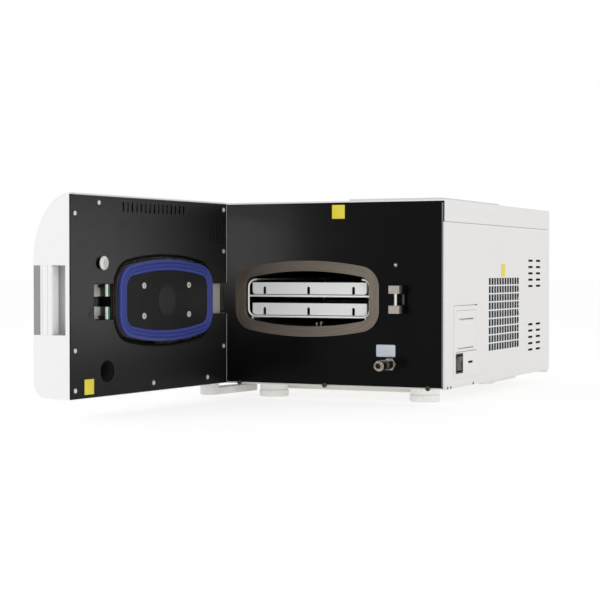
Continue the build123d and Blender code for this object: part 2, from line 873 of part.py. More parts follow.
# Coupling: a bored body through the panel, its nut behind, and a sleeve that slides back
coupling_spot = (coupling_x, coupling_level)
sleeve_front = -coupling_reach + coupling_lip + slip
sleeve_back = sleeve_front + coupling_sleeve_length
collar_front = sleeve_back + coupling_sleeve_travel + coupling_collar_gap
collar_length = -coupling_hex_thick - collar_front
thread_length = panel_sheet + coupling_nut_thick + coupling_thread_tail
with BuildPart() as coupling_body:
    disc(facing(coupling_tail), coupling_spot, coupling_radius, coupling_tail + coupling_reach)
    lip_radius = coupling_radius + coupling_lip_rise
    disc(facing(-coupling_reach + coupling_lip), coupling_spot, lip_radius, coupling_lip)
    disc(facing(-coupling_hex_thick), coupling_spot, coupling_collar_radius, collar_length)
    hexagon(facing(0), coupling_spot, coupling_hex, coupling_hex_thick)
    disc(facing(thread_length), coupling_spot, coupling_thread_radius, thread_length)
    disc(
        facing(coupling_tail),
        coupling_spot,
        coupling_bore,
        coupling_tail + coupling_reach,
        Mode.SUBTRACT,
    )
coupling_body.part.label = "coupling_body"
export_step(coupling_body.part, "parts/coupling_body.step")

with BuildPart() as coupling_nut:
    back = facing(panel_sheet + coupling_nut_thick)
    hexagon(back, coupling_spot, coupling_hex, coupling_nut_thick)
    disc(back, coupling_spot, coupling_thread_radius + running, coupling_nut_thick, Mode.SUBTRACT)
coupling_nut.part.label = "coupling_nut"
export_step(coupling_nut.part, "parts/coupling_nut.step")

with BuildPart() as coupling_sleeve:
    back = facing(sleeve_back)
    disc(back, coupling_spot, coupling_sleeve_radius, coupling_sleeve_length)
    disc(back, coupling_spot, coupling_radius + running, coupling_sleeve_length, Mode.SUBTRACT)
coupling_sleeve.part.label = "coupling_sleeve"
export_step(coupling_sleeve.part, "parts/coupling_sleeve.step")

# Hinge bracket: a plate on the panel and a cranked arm out to the pivot
pivot_spot = (pivot_x, pivot_depth)
knuckle_low = beam_low + beam_web_thick + 1 + panel_lift
knuckle_high = beam_high - beam_web_thick - 1 + panel_lift
with BuildPart() as hinge_bracket:
    knuckle = knuckle_high - knuckle_low
    plate_x = pivot_x - hinge_neck_offset + hinge_plate_half_width - hinge_neck_thick
    slab(
        facing(0),
        (plate_x - hinge_plate_half_width, knuckle_low),
        (plate_x + hinge_plate_half_width, knuckle_high),
        hinge_plate_thick,
    )
    half_neck = hinge_neck_thick / 2
    neck_x = pivot_x - hinge_neck_offset
    slab(
        level(knuckle_low),
        (neck_x - half_neck, pivot_depth - half_neck),
        (neck_x + half_neck, -hinge_plate_thick),
        knuckle,
    )
    slab(
        level(knuckle_low),
        (neck_x, pivot_depth - half_neck),
        (pivot_x, pivot_depth + half_neck),
        knuckle,
    )
    disc(level(knuckle_low), pivot_spot, hinge_knuckle_radius, knuckle)
    disc(level(knuckle_low), pivot_spot, hinge_pin_radius + running, knuckle, Mode.SUBTRACT)
hinge_bracket.part.label = "hinge_bracket"
export_step(hinge_bracket.part, "parts/hinge_bracket.step")

# Lower hinge ear: a boss under the door, drawn back under the pan
ear_top = door_bottom - 0.5
with BuildPart() as hinge_ear:
    with BuildSketch(level(ear_bottom)) as ear:
        with Locations(pivot_spot):
            Circle(ear_radius)
        with Locations((ear_tail_x, ear_tail_depth)):
            Circle(ear_tail_radius)
        make_hull()
    extrude(ear.sketch, amount=pan_bottom - ear_bottom)
    disc(level(pan_bottom), pivot_spot, ear_radius, ear_top - pan_bottom)
    fillet(hinge_ear.edges().group_by(Axis.Z)[0], ear_round)
    disc(level(ear_bottom), pivot_spot, ear_pin_radius + running, ear_top - ear_bottom, Mode.SUBTRACT)
hinge_ear.part.label = "hinge_ear"
export_step(hinge_ear.part, "parts/hinge_ear.step")

# Hinge pins: one through the beam and bracket, one up from the ear into the door
pin_head = 2.0
upper_pin_low = panel_lift + beam_low
lower_pin_high = panel_lift + 12.0
with BuildPart() as hinge_pins:
    disc(level(upper_pin_low), pivot_spot, hinge_pin_radius, beam_height + slip + pin_head)
    disc(level(upper_pin_low + beam_height + slip), pivot_spot, hinge_pin_radius + 2, pin_head)
    disc(level(ear_bottom + 1), pivot_spot, ear_pin_radius, lower_pin_high - ear_bottom - 1)
hinge_pins.part.label = "hinge_pins"
export_step(hinge_pins.part, "parts/hinge_pins.step")

# Equipment deck: a folded shelf between the side panels
deck_top = deck_level + deck_sheet
with BuildPart() as equipment_deck:
    reach = half_width - side_sheet
    slab(
        level(deck_level - deck_flange),
        (-reach, deck_depth[0]),
        (reach, deck_depth[1]),
        deck_flange + deck_sheet,
    )
    slab(
        level(deck_level - deck_flange),
        (-reach + deck_sheet, deck_depth[0] - 1),
        (reach - deck_sheet, deck_depth[1] + 1),
        deck_flange,
        Mode.SUBTRACT,
    )
equipment_deck.part.label = "equipment_deck"
export_step(equipment_deck.part, "parts/equipment_deck.step")

# Clean and waste water tanks: open boxes side by side under the tank lid
tank_split = (lid_opening_low[1] + lid_opening_high[1]) / 2
tank_spans = (
    (lid_opening_low[1] + tank_gap, tank_split - tank_gap / 2),
    (tank_split + tank_gap / 2, lid_opening_high[1] - tank_gap),
)


def water_tank(span):
    low = (lid_opening_low[0] + tank_side_gap, span[0])
    high = (lid_opening_high[0] - tank_side_gap, span[1])
    slab(level(deck_top), low, high, tank_height, rounding=tank_corner)
    slab(
        level(deck_top + tank_wall),
        (low[0] + tank_wall, low[1] + tank_wall),
        (high[0] - tank_wall, high[1] - tank_wall),
        tank_height,
        Mode.SUBTRACT,
        rounding=tank_corner - tank_wall,
    )


with BuildPart() as clean_tank:
    water_tank(tank_spans[0])
clean_tank.part.label = "clean_tank"
export_step(clean_tank.part, "parts/clean_tank.step")

with BuildPart() as waste_tank:
    water_tank(tank_spans[1])
waste_tank.part.label = "waste_tank"
export_step(waste_tank.part, "parts/waste_tank.step")

# Condenser: a comb of fins on a back plate, between a lower and an upper header
fin_count = int((grille_depth[1] - grille_depth[0]) / condenser_pitch)
condenser_low = grille_level[0] - condenser_header
condenser_high = grille_level[1] + condenser_header
with BuildPart() as condenser:
    with BuildSketch(level(condenser_low)) as comb:
        middle = (grille_depth[0] + grille_depth[1]) / 2
        with Locations((condenser_x[0] + condenser_spine / 2, middle)):
            Rectangle(condenser_spine, fin_count * condenser_pitch)
        with Locations(((condenser_x[0] + condenser_x[1]) / 2, middle)):
            with GridLocations(1, condenser_pitch, 1, fin_count):
                Rectangle(condenser_x[1] - condenser_x[0], condenser_fin)
    extrude(comb.sketch, amount=condenser_high - condenser_low)
    for start, end in ((pan_floor, condenser_low), (condenser_high, condenser_high + condenser_header)):
        slab(
            level(start),
            (condenser_x[0], grille_depth[0]),
            (condenser_x[1], grille_depth[1]),
            end - start,
        )
condenser.part.label = "condenser"
export_step(condenser.part, "parts/condenser.step")

# Fan shroud behind the condenser: a plate with a round throat and the motor on four arms
fan_spot = ((grille_depth[0] + grille_depth[1]) / 2, (grille_level[0] + grille_level[1]) / 2)
throat = fan_radius + fan_tip_gap
shroud_deep = 28.0
motor_setback = 62.0
shroud_back = condenser_x[0] - shroud_deep
motor_x = condenser_x[0] - motor_setback
motor_length = 26.0
shaft_radius = 3.0
arm = 6.0
arm_sink = 0.5
arm_rim = 3.0
arm_lap = 2.0
with BuildPart() as fan_shroud:
    slab(
        side_on(condenser_x[0]),
        (grille_depth[0], pan_floor),
        (grille_depth[1], condenser_high),
        -fan_plate,
    )
    disc(side_on(shroud_back), fan_spot, throat + fan_plate / 2, condenser_x[0] - shroud_back)
    disc(side_on(shroud_back), fan_spot, throat, condenser_x[0] - shroud_back, Mode.SUBTRACT)
    disc(side_on(motor_x), fan_spot, fan_hub_radius, motor_length)
    arm_back = side_on(motor_x + motor_length)
    for across, up in ((throat + arm_lap, arm / 2), (arm / 2, throat + arm_lap)):
        for turn in (-1, 1):
            reach = (fan_spot[0] + turn * across, fan_spot[1] + turn * up)
            start = (fan_spot[0] - arm / 2, fan_spot[1] - arm / 2)
            end = (fan_spot[0] + arm / 2, fan_spot[1] + arm / 2)
            low = (min(reach[0], start[0]), min(reach[1], start[1]))
            high = (max(reach[0], end[0]), max(reach[1], end[1]))
            slab(arm_back, low, high, -arm)
    bridge = shroud_back - motor_x - motor_length + arm
    for turn in (-1, 1):
        across = fan_spot[0] + turn * (throat - arm_sink)
        up = fan_spot[1] + turn * (throat - arm_sink)
        rim = sorted((across, across + turn * arm_rim))
        low, high = (rim[0], fan_spot[1] - arm / 2), (rim[1], fan_spot[1] + arm / 2)
        slab(arm_back.offset(-arm), low, high, bridge)
        rim = sorted((up, up + turn * arm_rim))
        low, high = (fan_spot[0] - arm / 2, rim[0]), (fan_spot[0] + arm / 2, rim[1])
        slab(arm_back.offset(-arm), low, high, bridge)
    disc(arm_back, fan_spot, shaft_radius, condenser_x[0] - condenser_spine - motor_x - motor_length)
fan_shroud.part.label = "fan_shroud"
export_step(fan_shroud.part, "parts/fan_shroud.step")

# Fan rotor: a hub and five pitched blades on the motor's shaft
rotor_inset = 4.0
rotor_start = shroud_back + rotor_inset
rotor_length = 18.0
blade_count = 5
blade_pitch = 30.0
blade_thick = 2.0
blade_sink = 2.0
with BuildPart() as fan_rotor:
    disc(side_on(rotor_start), fan_spot, fan_hub_radius, rotor_length)
    middle = side_on(rotor_start + rotor_length / 2)
    hub_centre = middle.from_local_coords((*fan_spot, 0))
    for turn in range(blade_count):
        angle = radians(turn * 360 / blade_count)
        spoke = Vector(0, cos(angle), sin(angle))
        chord = Vector(1, 0, 0).rotate(Axis((0, 0, 0), spoke), blade_pitch)
        root = hub_centre + spoke * (fan_hub_radius - blade_sink)
        with BuildSketch(Plane(root, x_dir=chord, z_dir=spoke)) as blade:
            Rectangle(fan_blade_width, blade_thick)
        extrude(blade.sketch, amount=fan_radius - fan_hub_radius)
    disc(side_on(rotor_start), fan_spot, shaft_radius + running, rotor_length, Mode.SUBTRACT)
fan_rotor.part.label = "fan_rotor"
export_step(fan_rotor.part, "parts/fan_rotor.step")

# Steam generator: an upright boiler with domed-edge ends and an outlet on top
outlet_high = 12.0
generator_round = 10.0
with BuildPart() as steam_generator:
    spot = (generator_x, generator_depth)
    disc(level(pan_floor), spot, generator_radius, generator_height)
    fillet(steam_generator.edges().filter_by(GeomType.CIRCLE).group_by(Axis.Z)[-1], generator_round)
    disc(level(pan_floor + generator_height), spot, pipe_radius + pipe_wall, outlet_high)
steam_generator.part.label = "steam_generator"
export_step(steam_generator.part, "parts/steam_generator.step")

# Vacuum pump: a motor on a foot with a square pump head at its end
pump_motor_radius = 34.0
pump_motor_length = 90.0
pump_head_width = 70.0
pump_head_length = 34.0
pump_head_rise = 6.0
pump_foot = 12.0
pump_foot_spare = 6.0
pump_saddle = 28.0
pump_axis_rise = 38.0
pump_axis = pan_floor + pump_foot + pump_axis_rise
pump_top = pump_axis + pump_motor_radius + pump_head_rise
pump_start = pump_x - pump_motor_length / 2
pump_end = pump_start + pump_motor_length + pump_head_length
with BuildPart() as vacuum_pump:
    slab(
        level(pan_floor),
        (pump_start, pump_depth - pump_width / 2),
        (pump_end + pump_foot_spare, pump_depth + pump_width / 2),
        pump_foot,
    )
    slab(
        level(pan_floor + pump_foot),
        (pump_start, pump_depth - pump_saddle / 2),
        (pump_end, pump_depth + pump_saddle / 2),
        pump_axis_rise,
    )
    disc(side_on(pump_start), (pump_depth, pump_axis), pump_motor_radius, pump_motor_length)
    slab(
        side_on(pump_end - pump_head_length),
        (pump_depth - pump_head_width / 2, pan_floor + pump_foot),
        (pump_depth + pump_head_width / 2, pump_top),
        pump_head_length,
    )
vacuum_pump.part.label = "vacuum_pump"
export_step(vacuum_pump.part, "parts/vacuum_pump.step")

# Water pump: a small block on a foot plate with a port on top
water_pump_x = -40.0
water_pump_back_gap = 59.0
water_pump_foot = (56.0, 44.0, 6.0)
water_pump_size = (40.0, 36.0, 44.0)
water_port_high = 10.0
water_pump_depth = pan_back - water_pump_back_gap - water_pump_foot[1] / 2
with BuildPart() as water_pump:
    bottom = pan_floor
    for width, length, height in (water_pump_foot, water_pump_size):
        slab(
            level(bottom),
            (water_pump_x - width / 2, water_pump_depth - length / 2),
            (water_pump_x + width / 2, water_pump_depth + length / 2),
            height,
        )
        bottom += height
    port = (water_pump_x, water_pump_depth)
    disc(level(bottom), port, pipe_radius + pipe_wall, water_port_high)
water_pump.part.label = "water_pump"
export_step(water_pump.part, "parts/water_pump.step")

# Main board: a board on posts from the left side panel, with its larger components
board_depth = (130.0, 400.0)
board_level = (70.0, 235.0)
post_length = 10.0
post_radius = 3.5
post_inset = 10.0
board_sheet = 1.6
component_high = 14.0
components = ((175.0, 190.0, 34.0), (235.0, 120.0, 26.0), (330.0, 195.0, 30.0))
with BuildPart() as main_board:
    inner_face = -half_width + side_sheet
    board = side_on(inner_face + post_length)
    slab(board, (board_depth[0], board_level[0]), (board_depth[1], board_level[1]), board_sheet)
    for depth in (board_depth[0] + post_inset, board_depth[1] - post_inset):
        for height in (board_level[0] + post_inset, board_level[1] - post_inset):
            disc(side_on(inner_face), (depth, height), post_radius, post_length)
    outer = side_on(inner_face + post_length + board_sheet)
    for depth, height, size in components:
        slab(outer, (depth, height - size), (depth + size, height), component_high)
main_board.part.label = "main_board"
export_step(main_board.part, "parts/main_board.step")

# Safety valve on the rear of the vessel: a neck, a hexagon and a round cap
valve_spot = (chamber_x, chamber_level + 12.0)
valve_neck = (6.0, 14.0)
valve_hexagon = (20.0, 12.0)
valve_cap = (7.5, 20.0)
with BuildPart() as safety_valve:
    hexagon_start = vessel_back + valve_neck[1]
    cap_start = hexagon_start + valve_hexagon[1]
    disc(facing(hexagon_start), valve_spot, *valve_neck)
    hexagon(facing(cap_start), valve_spot, *valve_hexagon)
    disc(facing(cap_start + valve_cap[1]), valve_spot, *valve_cap)
safety_valve.part.label = "safety_valve"
export_step(safety_valve.part, "parts/safety_valve.step")


# Pipes: straight runs and tangent bends between the machine's parts
def pipe(points, bend):
    spots = [(cabinet_x + x, front_y + depth, height) for x, depth, height in points]
    with BuildLine() as path:
        FilletPolyline(*spots, radius=bend)
    with BuildSketch(Plane(origin=path.line @ 0, z_dir=path.line % 0)) as section:
        Circle(pipe_radius)
    sweep(section.sketch, path=path.line)


generator_top = pan_floor + generator_height + outlet_high
low_run_level = 40.0
feed_leg = 72.0
water_pump_front = water_pump_depth - water_pump_size[1] / 2
low_run_depth = water_pump_front - feed_leg
steam_rise = 24.0
steam_bend = 11.0
drain_bend = 14.0
feed_bend = 12.0
feed_reach = 40.0
pump_head_x = pump_end - pump_head_length / 2
with BuildPart() as pipework:
    pipe(
        (
            (generator_x, generator_depth, generator_top),
            (generator_x, generator_depth, generator_top + steam_rise),
            (steam_port[0], generator_depth, generator_top + steam_rise),
            (steam_port[0], generator_depth, steam_port[1]),
            (steam_port[0], vessel_back, steam_port[1]),
        ),
        steam_bend,
    )
    pipe(
        (
            (drain_port[0], vessel_back, drain_port[1]),
            (drain_port[0], pump_depth, drain_port[1]),
            (pump_head_x, pump_depth, drain_port[1]),
            (pump_head_x, pump_depth, pump_top),
        ),
        drain_bend,
    )
    turn_back = coupling_tail + feed_reach
    pipe(
        (
            (coupling_x, coupling_tail, coupling_level),
            (coupling_x, turn_back, coupling_level),
            (coupling_x, turn_back, low_run_level),
            (coupling_x, low_run_depth, low_run_level),
            (water_pump_x, low_run_depth, low_run_level),
            (water_pump_x, water_pump_front, low_run_level),
        ),
        feed_bend,
    )
pipework.part.label = "pipework"
export_step(pipework.part, "parts/pipework.step")

# Printer housing: a flanged box set into the right side, with a pocket for the switch
cover_pivot = (half_width + housing_proud - cover_thick / 2, cover_level[0] + cover_pivot_rise)
with BuildPart() as printer_housing:
    slab(
        side_on(half_width),
        (housing_depth[0], housing_level[0]),
        (housing_depth[1], housing_level[1]),
        housing_proud,
        rounding=housing_corner,
    )
    wall = housing_lap + slip
    slab(
        side_on(half_width - housing_inside),
        (housing_depth[0] + wall, housing_level[0] + wall),
        (housing_depth[1] - wall, housing_level[1] - wall),
        housing_inside,
    )
    slab(
        side_on(half_width - housing_inside + housing_wall),
        (cover_depth[0] - cover_gap, cover_level[0] - cover_gap),
        (cover_depth[1] + cover_gap, cover_level[1] + cover_gap),
        housing_inside,
        Mode.SUBTRACT,
    )
    slab(
        side_on(half_width + housing_proud),
        (switch_depth[0], switch_level[0]),
        (switch_depth[1], switch_level[1]),
        -switch_frame_deep - 2,
        Mode.SUBTRACT,
    )
    back_wall = wall + housing_wall
    slab(
        side_on(half_width + housing_proud - switch_frame_deep - 2 - housing_wall),
        (housing_depth[0] + back_wall, housing_level[0] + back_wall),
        (housing_depth[1] - back_wall, cover_level[0] - cover_gap - housing_wall),
        -housing_inside,
        Mode.SUBTRACT,
    )
    slab(
        side_on(half_width + housing_proud),
        (card_slot_depth[0], card_slot_level[0]),
        (card_slot_depth[1], card_slot_level[1]),
        -switch_frame_deep - 2 * housing_wall,
        Mode.SUBTRACT,
    )
    for depth in (cover_depth[0], cover_depth[1] + cover_stub_length + cover_gap):
        disc(
            facing(depth),
            cover_pivot,
            cover_stub_radius + running,
            cover_stub_length + cover_gap,
            Mode.SUBTRACT,
        )
    arm_ends = (paper_depth[0] - slip, paper_depth[1] + slip + paper_arm)
    for depth in arm_ends:
        slab(
            facing(depth),
            (half_width - housing_inside + housing_wall / 2, paper_level - paper_arm_half),
            (half_width - paper_inset + paper_arm_half, paper_level + paper_arm_half),
            paper_arm,
        )
    spindle_end = paper_depth[1] + slip + paper_spindle_sink
    disc(
        facing(spindle_end),
        (half_width - paper_inset, paper_level),
        paper_bore - running,
        spindle_end - paper_depth[0] + slip + paper_spindle_sink,
    )
printer_housing.part.label = "printer_housing"
export_step(printer_housing.part, "parts/printer_housing.step")

# Printer cover: a plate with a finger groove, hinged along its lower edge on two stubs
with BuildPart() as printer_cover:
    slab(
        side_on(half_width + housing_proud - cover_thick),
        (cover_depth[0], cover_level[0]),
        (cover_depth[1], cover_level[1]),
        cover_thick,
    )
    lower_edges = printer_cover.edges().filter_by(Axis.Y).group_by(Axis.Z)[0]
    fillet(lower_edges, cover_thick / 2 - running)
    cover_width = cover_depth[1] - cover_depth[0]
    with BuildSketch(side_on(half_width + housing_proud)) as grooves:
        with Locations((cover_middle, cover_level[1] - finger_groove_drop)):
            SlotOverall(cover_width - 2 * finger_groove_inset, finger_groove_width)
        with Locations((cover_middle - hinge_groove_shift, cover_level[0] + hinge_groove_rise)):
            SlotOverall(cover_width - 2 * hinge_groove_inset, hinge_groove_width)
    extrude(grooves.sketch, amount=-groove_deep, mode=Mode.SUBTRACT)
    stub_span = cover_width + 2 * cover_stub_length
    disc(facing(cover_depth[1] + cover_stub_length), cover_pivot, cover_stub_radius, stub_span)
printer_cover.part.label = "printer_cover"
export_step(printer_cover.part, "parts/printer_cover.step")

# Paper roll on its spindle
with BuildPart() as paper_roll:
    roll_spot = (half_width - paper_inset, paper_level)
    disc(facing(paper_depth[1]), roll_spot, paper_radius, paper_depth[1] - paper_depth[0])
    disc(
        facing(paper_depth[1]),
        roll_spot,
        paper_bore,
        paper_depth[1] - paper_depth[0],
        Mode.SUBTRACT,
    )
paper_roll.part.label = "paper_roll"
export_step(paper_roll.part, "parts/paper_roll.step")

# Switch frame: a dark frame with a pocket that the rocker tips in
rocker_x = half_width + housing_proud - rocker_pivot_inset
rocker_level = sum(switch_level) / 2
pocket_low = (switch_depth[0] + switch_side_wall, switch_level[0] + switch_end_wall)
pocket_high = (switch_depth[1] - switch_side_wall, switch_level[1] - switch_end_wall)
frame_face = side_on(half_width + housing_proud + switch_frame_proud)
with BuildPart() as switch_frame:
    slab(
        frame_face,
        (switch_depth[0] + running, switch_level[0] + running),
        (switch_depth[1] - running, switch_level[1] - running),
        -switch_frame_deep - switch_frame_proud,
    )
    slab(frame_face, pocket_low, pocket_high, -switch_frame_deep, Mode.SUBTRACT)
    pocket = pocket_high[0] - pocket_low[0]
    disc(
        facing(pocket_high[0] + rocker_pin_length),
        (rocker_x, rocker_level),
        rocker_pin_radius + running,
        pocket + 2 * rocker_pin_length,
        Mode.SUBTRACT,
    )
switch_frame.part.label = "switch_frame"
export_step(switch_frame.part, "parts/switch_frame.step")

# Rocker: two flat lobes that meet at the middle, tipping on its pivot
rocker_face = rocker_pivot_inset + 2.0
rocker_waist = rocker_pivot_inset - 1.0
rocker_dip = 2.2
rocker_back = -4.0
rocker_taper = 3.0
with BuildPart() as power_rocker:
    back = facing(pocket_high[0] - rocker_side_gap)
    with BuildSketch(shifted(back, (rocker_x, rocker_level))) as profile:
        with BuildLine():
            Polyline(
                (rocker_back, -rocker_half_height + rocker_taper),
                (rocker_waist, -rocker_half_height),
                (rocker_face - rocker_dip, -rocker_half_height),
                (rocker_waist, 0),
                (rocker_face, rocker_half_height),
                (rocker_waist - rocker_dip, rocker_half_height),
                (rocker_back, rocker_half_height - rocker_taper),
                close=True,
            )
        make_face()
    extrude(profile.sketch, amount=pocket - 2 * rocker_side_gap)
    disc(
        facing(pocket_high[0] + rocker_pin_length - slip),
        (rocker_x, rocker_level),
        rocker_pin_radius,
        pocket + 2 * rocker_pin_length - 2 * slip,
    )
power_rocker.part.label = "power_rocker"
export_step(power_rocker.part, "parts/power_rocker.step")


# Boxes in the door, given by their spans along it, through it and up it
def door_box(spans, mode=Mode.ADD):
    (start, end), (inner, outer), (low, high) = spans
    slab(door_face(inner), (start, low), (end, high), outer - inner, mode)


def door_bore(spot, radius, through, mode=Mode.SUBTRACT):
    disc(door_face(through[0]), spot, radius, through[1] - through[0], mode)


# The door's outline from its end: flat toe, straight front and a quarter ellipse over the top
def door_profile(s, wall, length, mode=Mode.ADD):
    toe = door_toe_radius - wall
    toe_t = door_thickness - door_toe_radius
    toe_middle = door_toe_radius - door_bottom_drop
    reach = door_thickness - wall
    crown = panel_height + door_top_rise - door_nose_top - wall
    bottom = wall - door_bottom_drop
    start = -wall - 1
    with BuildSketch(door_end(s)) as profile:
        with BuildLine():
            Line((start, bottom), (toe_t, bottom))
            CenterArc((toe_t, toe_middle), toe, -90, 90)
            Line((reach, toe_middle), (reach, door_nose_top))
            EllipticalCenterArc((0, door_nose_top), reach, crown, start_angle=0, arc_size=90)
            Line((0, door_nose_top + crown), (start, door_nose_top + crown))
            Line((start, door_nose_top + crown), (start, bottom))
        make_face()
    extrude(profile.sketch, amount=length, mode=mode)


# Where the screws of the door's inner panel sit
screw_margin = 11.5
screw_lift = 13.5
hinge_side_screws = (67.0, 239.0, 314.0)
free_side_screws = (13.5, 77.0, 295.0)
lower_edge_screws = (65.0, 232.0)
door_screw_spots = [(screw_margin, height) for height in hinge_side_screws]
door_screw_spots += [(door_width - screw_margin, height) for height in free_side_screws]
door_screw_spots += [(s, screw_lift) for s in lower_edge_screws]
top_screw_spot = (384.0, 314.0)
boss_radius = 5.5
boss_length = 10.0
rib_thick = 6.0
hinge_slot_t = 54.0
hinge_slot = ((0.0, 52.0), (-1.0, hinge_slot_t), (beam_low, beam_high + 1))
display_s = (154.0, 304.0)
display_height = (105.0, 175.0)
key_s = (200.0, 258.0)
key_height = 80.0
key_radius = 9.0
key_gap = 0.4
shell_inner = door_thickness - door_wall

# Door shell: a curved white casing with a cup for the handle and bosses for the panel
with BuildPart() as door_shell:
    door_profile(door_width, 0, door_width)
    sides = door_shell.faces().filter_by(door_end(0)).edges()
    backs = door_shell.faces().filter_by(door_face(0)).edges()
    fillet(sides - backs, door_side_round)
    door_profile(door_width - door_wall, door_wall, door_width - 2 * door_wall, Mode.SUBTRACT)
    cup = (
        (door_width - recess_deep - door_wall, door_width - door_wall),
        (recess_t[0] - door_wall, door_thickness - door_wall / 2),
        (recess_low - door_wall, recess_high + door_wall),
    )
    door_box(cup)
    recess = ((door_width - recess_deep, door_width), recess_t, (recess_low, recess_high))
    door_box(recess, Mode.SUBTRACT)
    boss_span = (door_panel_sheet, door_panel_sheet + boss_length)
    for s, height in door_screw_spots + [top_screw_spot]:
        door_bore((s, height), boss_radius, boss_span, Mode.ADD)
        rib = ((s - rib_thick / 2, s + rib_thick / 2), (height - rib_thick / 2, height + rib_thick / 2))
        if s < 2 * screw_margin:
            rib = ((door_wall / 2, s), rib[1])
        elif s > door_width - 2 * screw_margin:
            rib = ((s, door_width - door_wall / 2), rib[1])
        elif height < panel_height / 2:
            rib = (rib[0], (door_wall / 2 - door_bottom_drop, height))
        else:
            rib = (rib[0], (height, panel_height - door_bottom_drop))
        door_box((rib[0], boss_span, rib[1]))
    behind_panel = (-door_wall, panel_height + 2 * door_wall)
    door_box(((0.0, door_width), (-door_wall, door_panel_sheet), behind_panel), Mode.SUBTRACT)
    door_box(((0.0, door_wall), *hinge_slot[1:]), Mode.SUBTRACT)
    hinge_spot = (pivot_s, -pivot_t)
    disc(door_level(-door_bottom_drop), hinge_spot, ear_pin_radius + running, door_wall, Mode.SUBTRACT)
    door_box((display_s, (shell_inner, door_thickness), display_height), Mode.SUBTRACT)
    for s in key_s:
        door_bore((s, key_height), key_radius + key_gap, (shell_inner, door_thickness))
door_shell.part.label = "door_shell"
export_step(door_shell.part, "parts/door_shell.step")

# Door inner panel: black sheet with the lid opening, lock window, slots and speaker holes
slot_count = 15
slot_pitch = 12.66
slot_first = 140.0
slot_height = (300.7, 316.7)
slot_width = 4.0
hole_columns, hole_rows = 5, 9
hole_low = (11.0, 254.5)
hole_high = (56.6, 302.0)
hole_radius = 1.5
coupling_hole_radius = 18.0
coupling_spot = (coupling_x + door_width / 2, coupling_level - panel_lift)
with BuildPart() as door_panel:
    slab(door_face(0), (0, 0), (door_width, panel_height), door_panel_sheet)
    lid_prism(0, -lid_margin - lid_gap, door_panel_sheet, Mode.SUBTRACT)
    window = (lock_level - lock_window_half_height, lock_level + lock_window_half_height)
    door_box((lock_window_s, (0.0, door_panel_sheet), window), Mode.SUBTRACT)
    door_box(hinge_slot, Mode.SUBTRACT)
    door_bore(coupling_spot, coupling_hole_radius, (0.0, door_panel_sheet))
    for s, height in door_screw_spots + [top_screw_spot]:
        door_bore((s, height), screw_shank_radius, (0.0, door_panel_sheet))
    with BuildSketch(door_face(0)) as slots:
        middle = (slot_first + slot_pitch * (slot_count - 1) / 2, sum(slot_height) / 2)
        with Locations(middle):
            with GridLocations(slot_pitch, 1, slot_count, 1):
                SlotOverall(slot_height[1] - slot_height[0], slot_width, rotation=90)
        middle = ((hole_low[0] + hole_high[0]) / 2, (hole_low[1] + hole_high[1]) / 2)
        across = (hole_high[0] - hole_low[0]) / (hole_columns - 1)
        up = (hole_high[1] - hole_low[1]) / (hole_rows - 1)
        with Locations(middle):
            with GridLocations(across, up, hole_columns, hole_rows):
                Circle(hole_radius)
    extrude(slots.sketch, amount=door_panel_sheet, mode=Mode.SUBTRACT)
door_panel.part.label = "door_panel"
export_step(door_panel.part, "parts/door_panel.step")

# Door beam: a steel channel from the hinge to the lock
lock_spot = (hook_s, -hook_t)
web = (beam_web_t, beam_web_t + beam_web_thick)
flange_span = (beam_web_t + beam_web_thick, beam_web_t + beam_web_thick + beam_reach)
with BuildPart() as door_beam:
    door_box(((beam_start, beam_web_end), web, (beam_low, beam_high)))
    for edge in (beam_low, beam_high - beam_web_thick):
        flange = (edge, edge + beam_web_thick)
        door_box(((beam_start, beam_lock_end), (web[1], flange_span[1]), flange))
        disc(door_level(edge), hinge_spot, hinge_pin_radius + running, beam_web_thick, Mode.SUBTRACT)
        disc(door_level(edge), lock_spot, hook_pin_radius, beam_web_thick, Mode.SUBTRACT)
door_beam.part.label = "door_beam"
export_step(door_beam.part, "parts/door_beam.step")

# Lid: a stiff plate against the beam, a rubber seal round it and a black cover with a round centre
lid_inner = -seal_proud + seal_thick
lid_step = 1.0
seal_round = 1.0
with BuildPart() as lid_plate:
    flange_inner = lid_inner + lid_step
    lid_prism(flange_inner, -lid_margin, beam_web_t - flange_inner)
    lid_prism(lid_inner, 0, lid_step)
lid_plate.part.label = "lid_plate"
export_step(lid_plate.part, "parts/lid_plate.step")

with BuildPart() as lid_seal:
    lid_prism(-seal_proud, 0, seal_thick)
    fillet(lid_seal.edges().filter_by(door_face(0)), seal_round)
    lid_prism(-seal_proud, seal_ring, seal_thick, Mode.SUBTRACT)
lid_seal.part.label = "lid_seal"
export_step(lid_seal.part, "parts/lid_seal.step")

with BuildPart() as lid_cover:
    lid_prism(-seal_proud + lid_cover_sink, seal_ring + slip, seal_thick - lid_cover_sink)
    proud = (-seal_proud + lid_cover_sink - lid_disc_proud, -seal_proud + lid_cover_sink)
    door_bore((lid_s + lid_middle_shift, lock_level), lid_disc_radius, proud, Mode.ADD)
lid_cover.part.label = "lid_cover"
export_step(lid_cover.part, "parts/lid_cover.step")

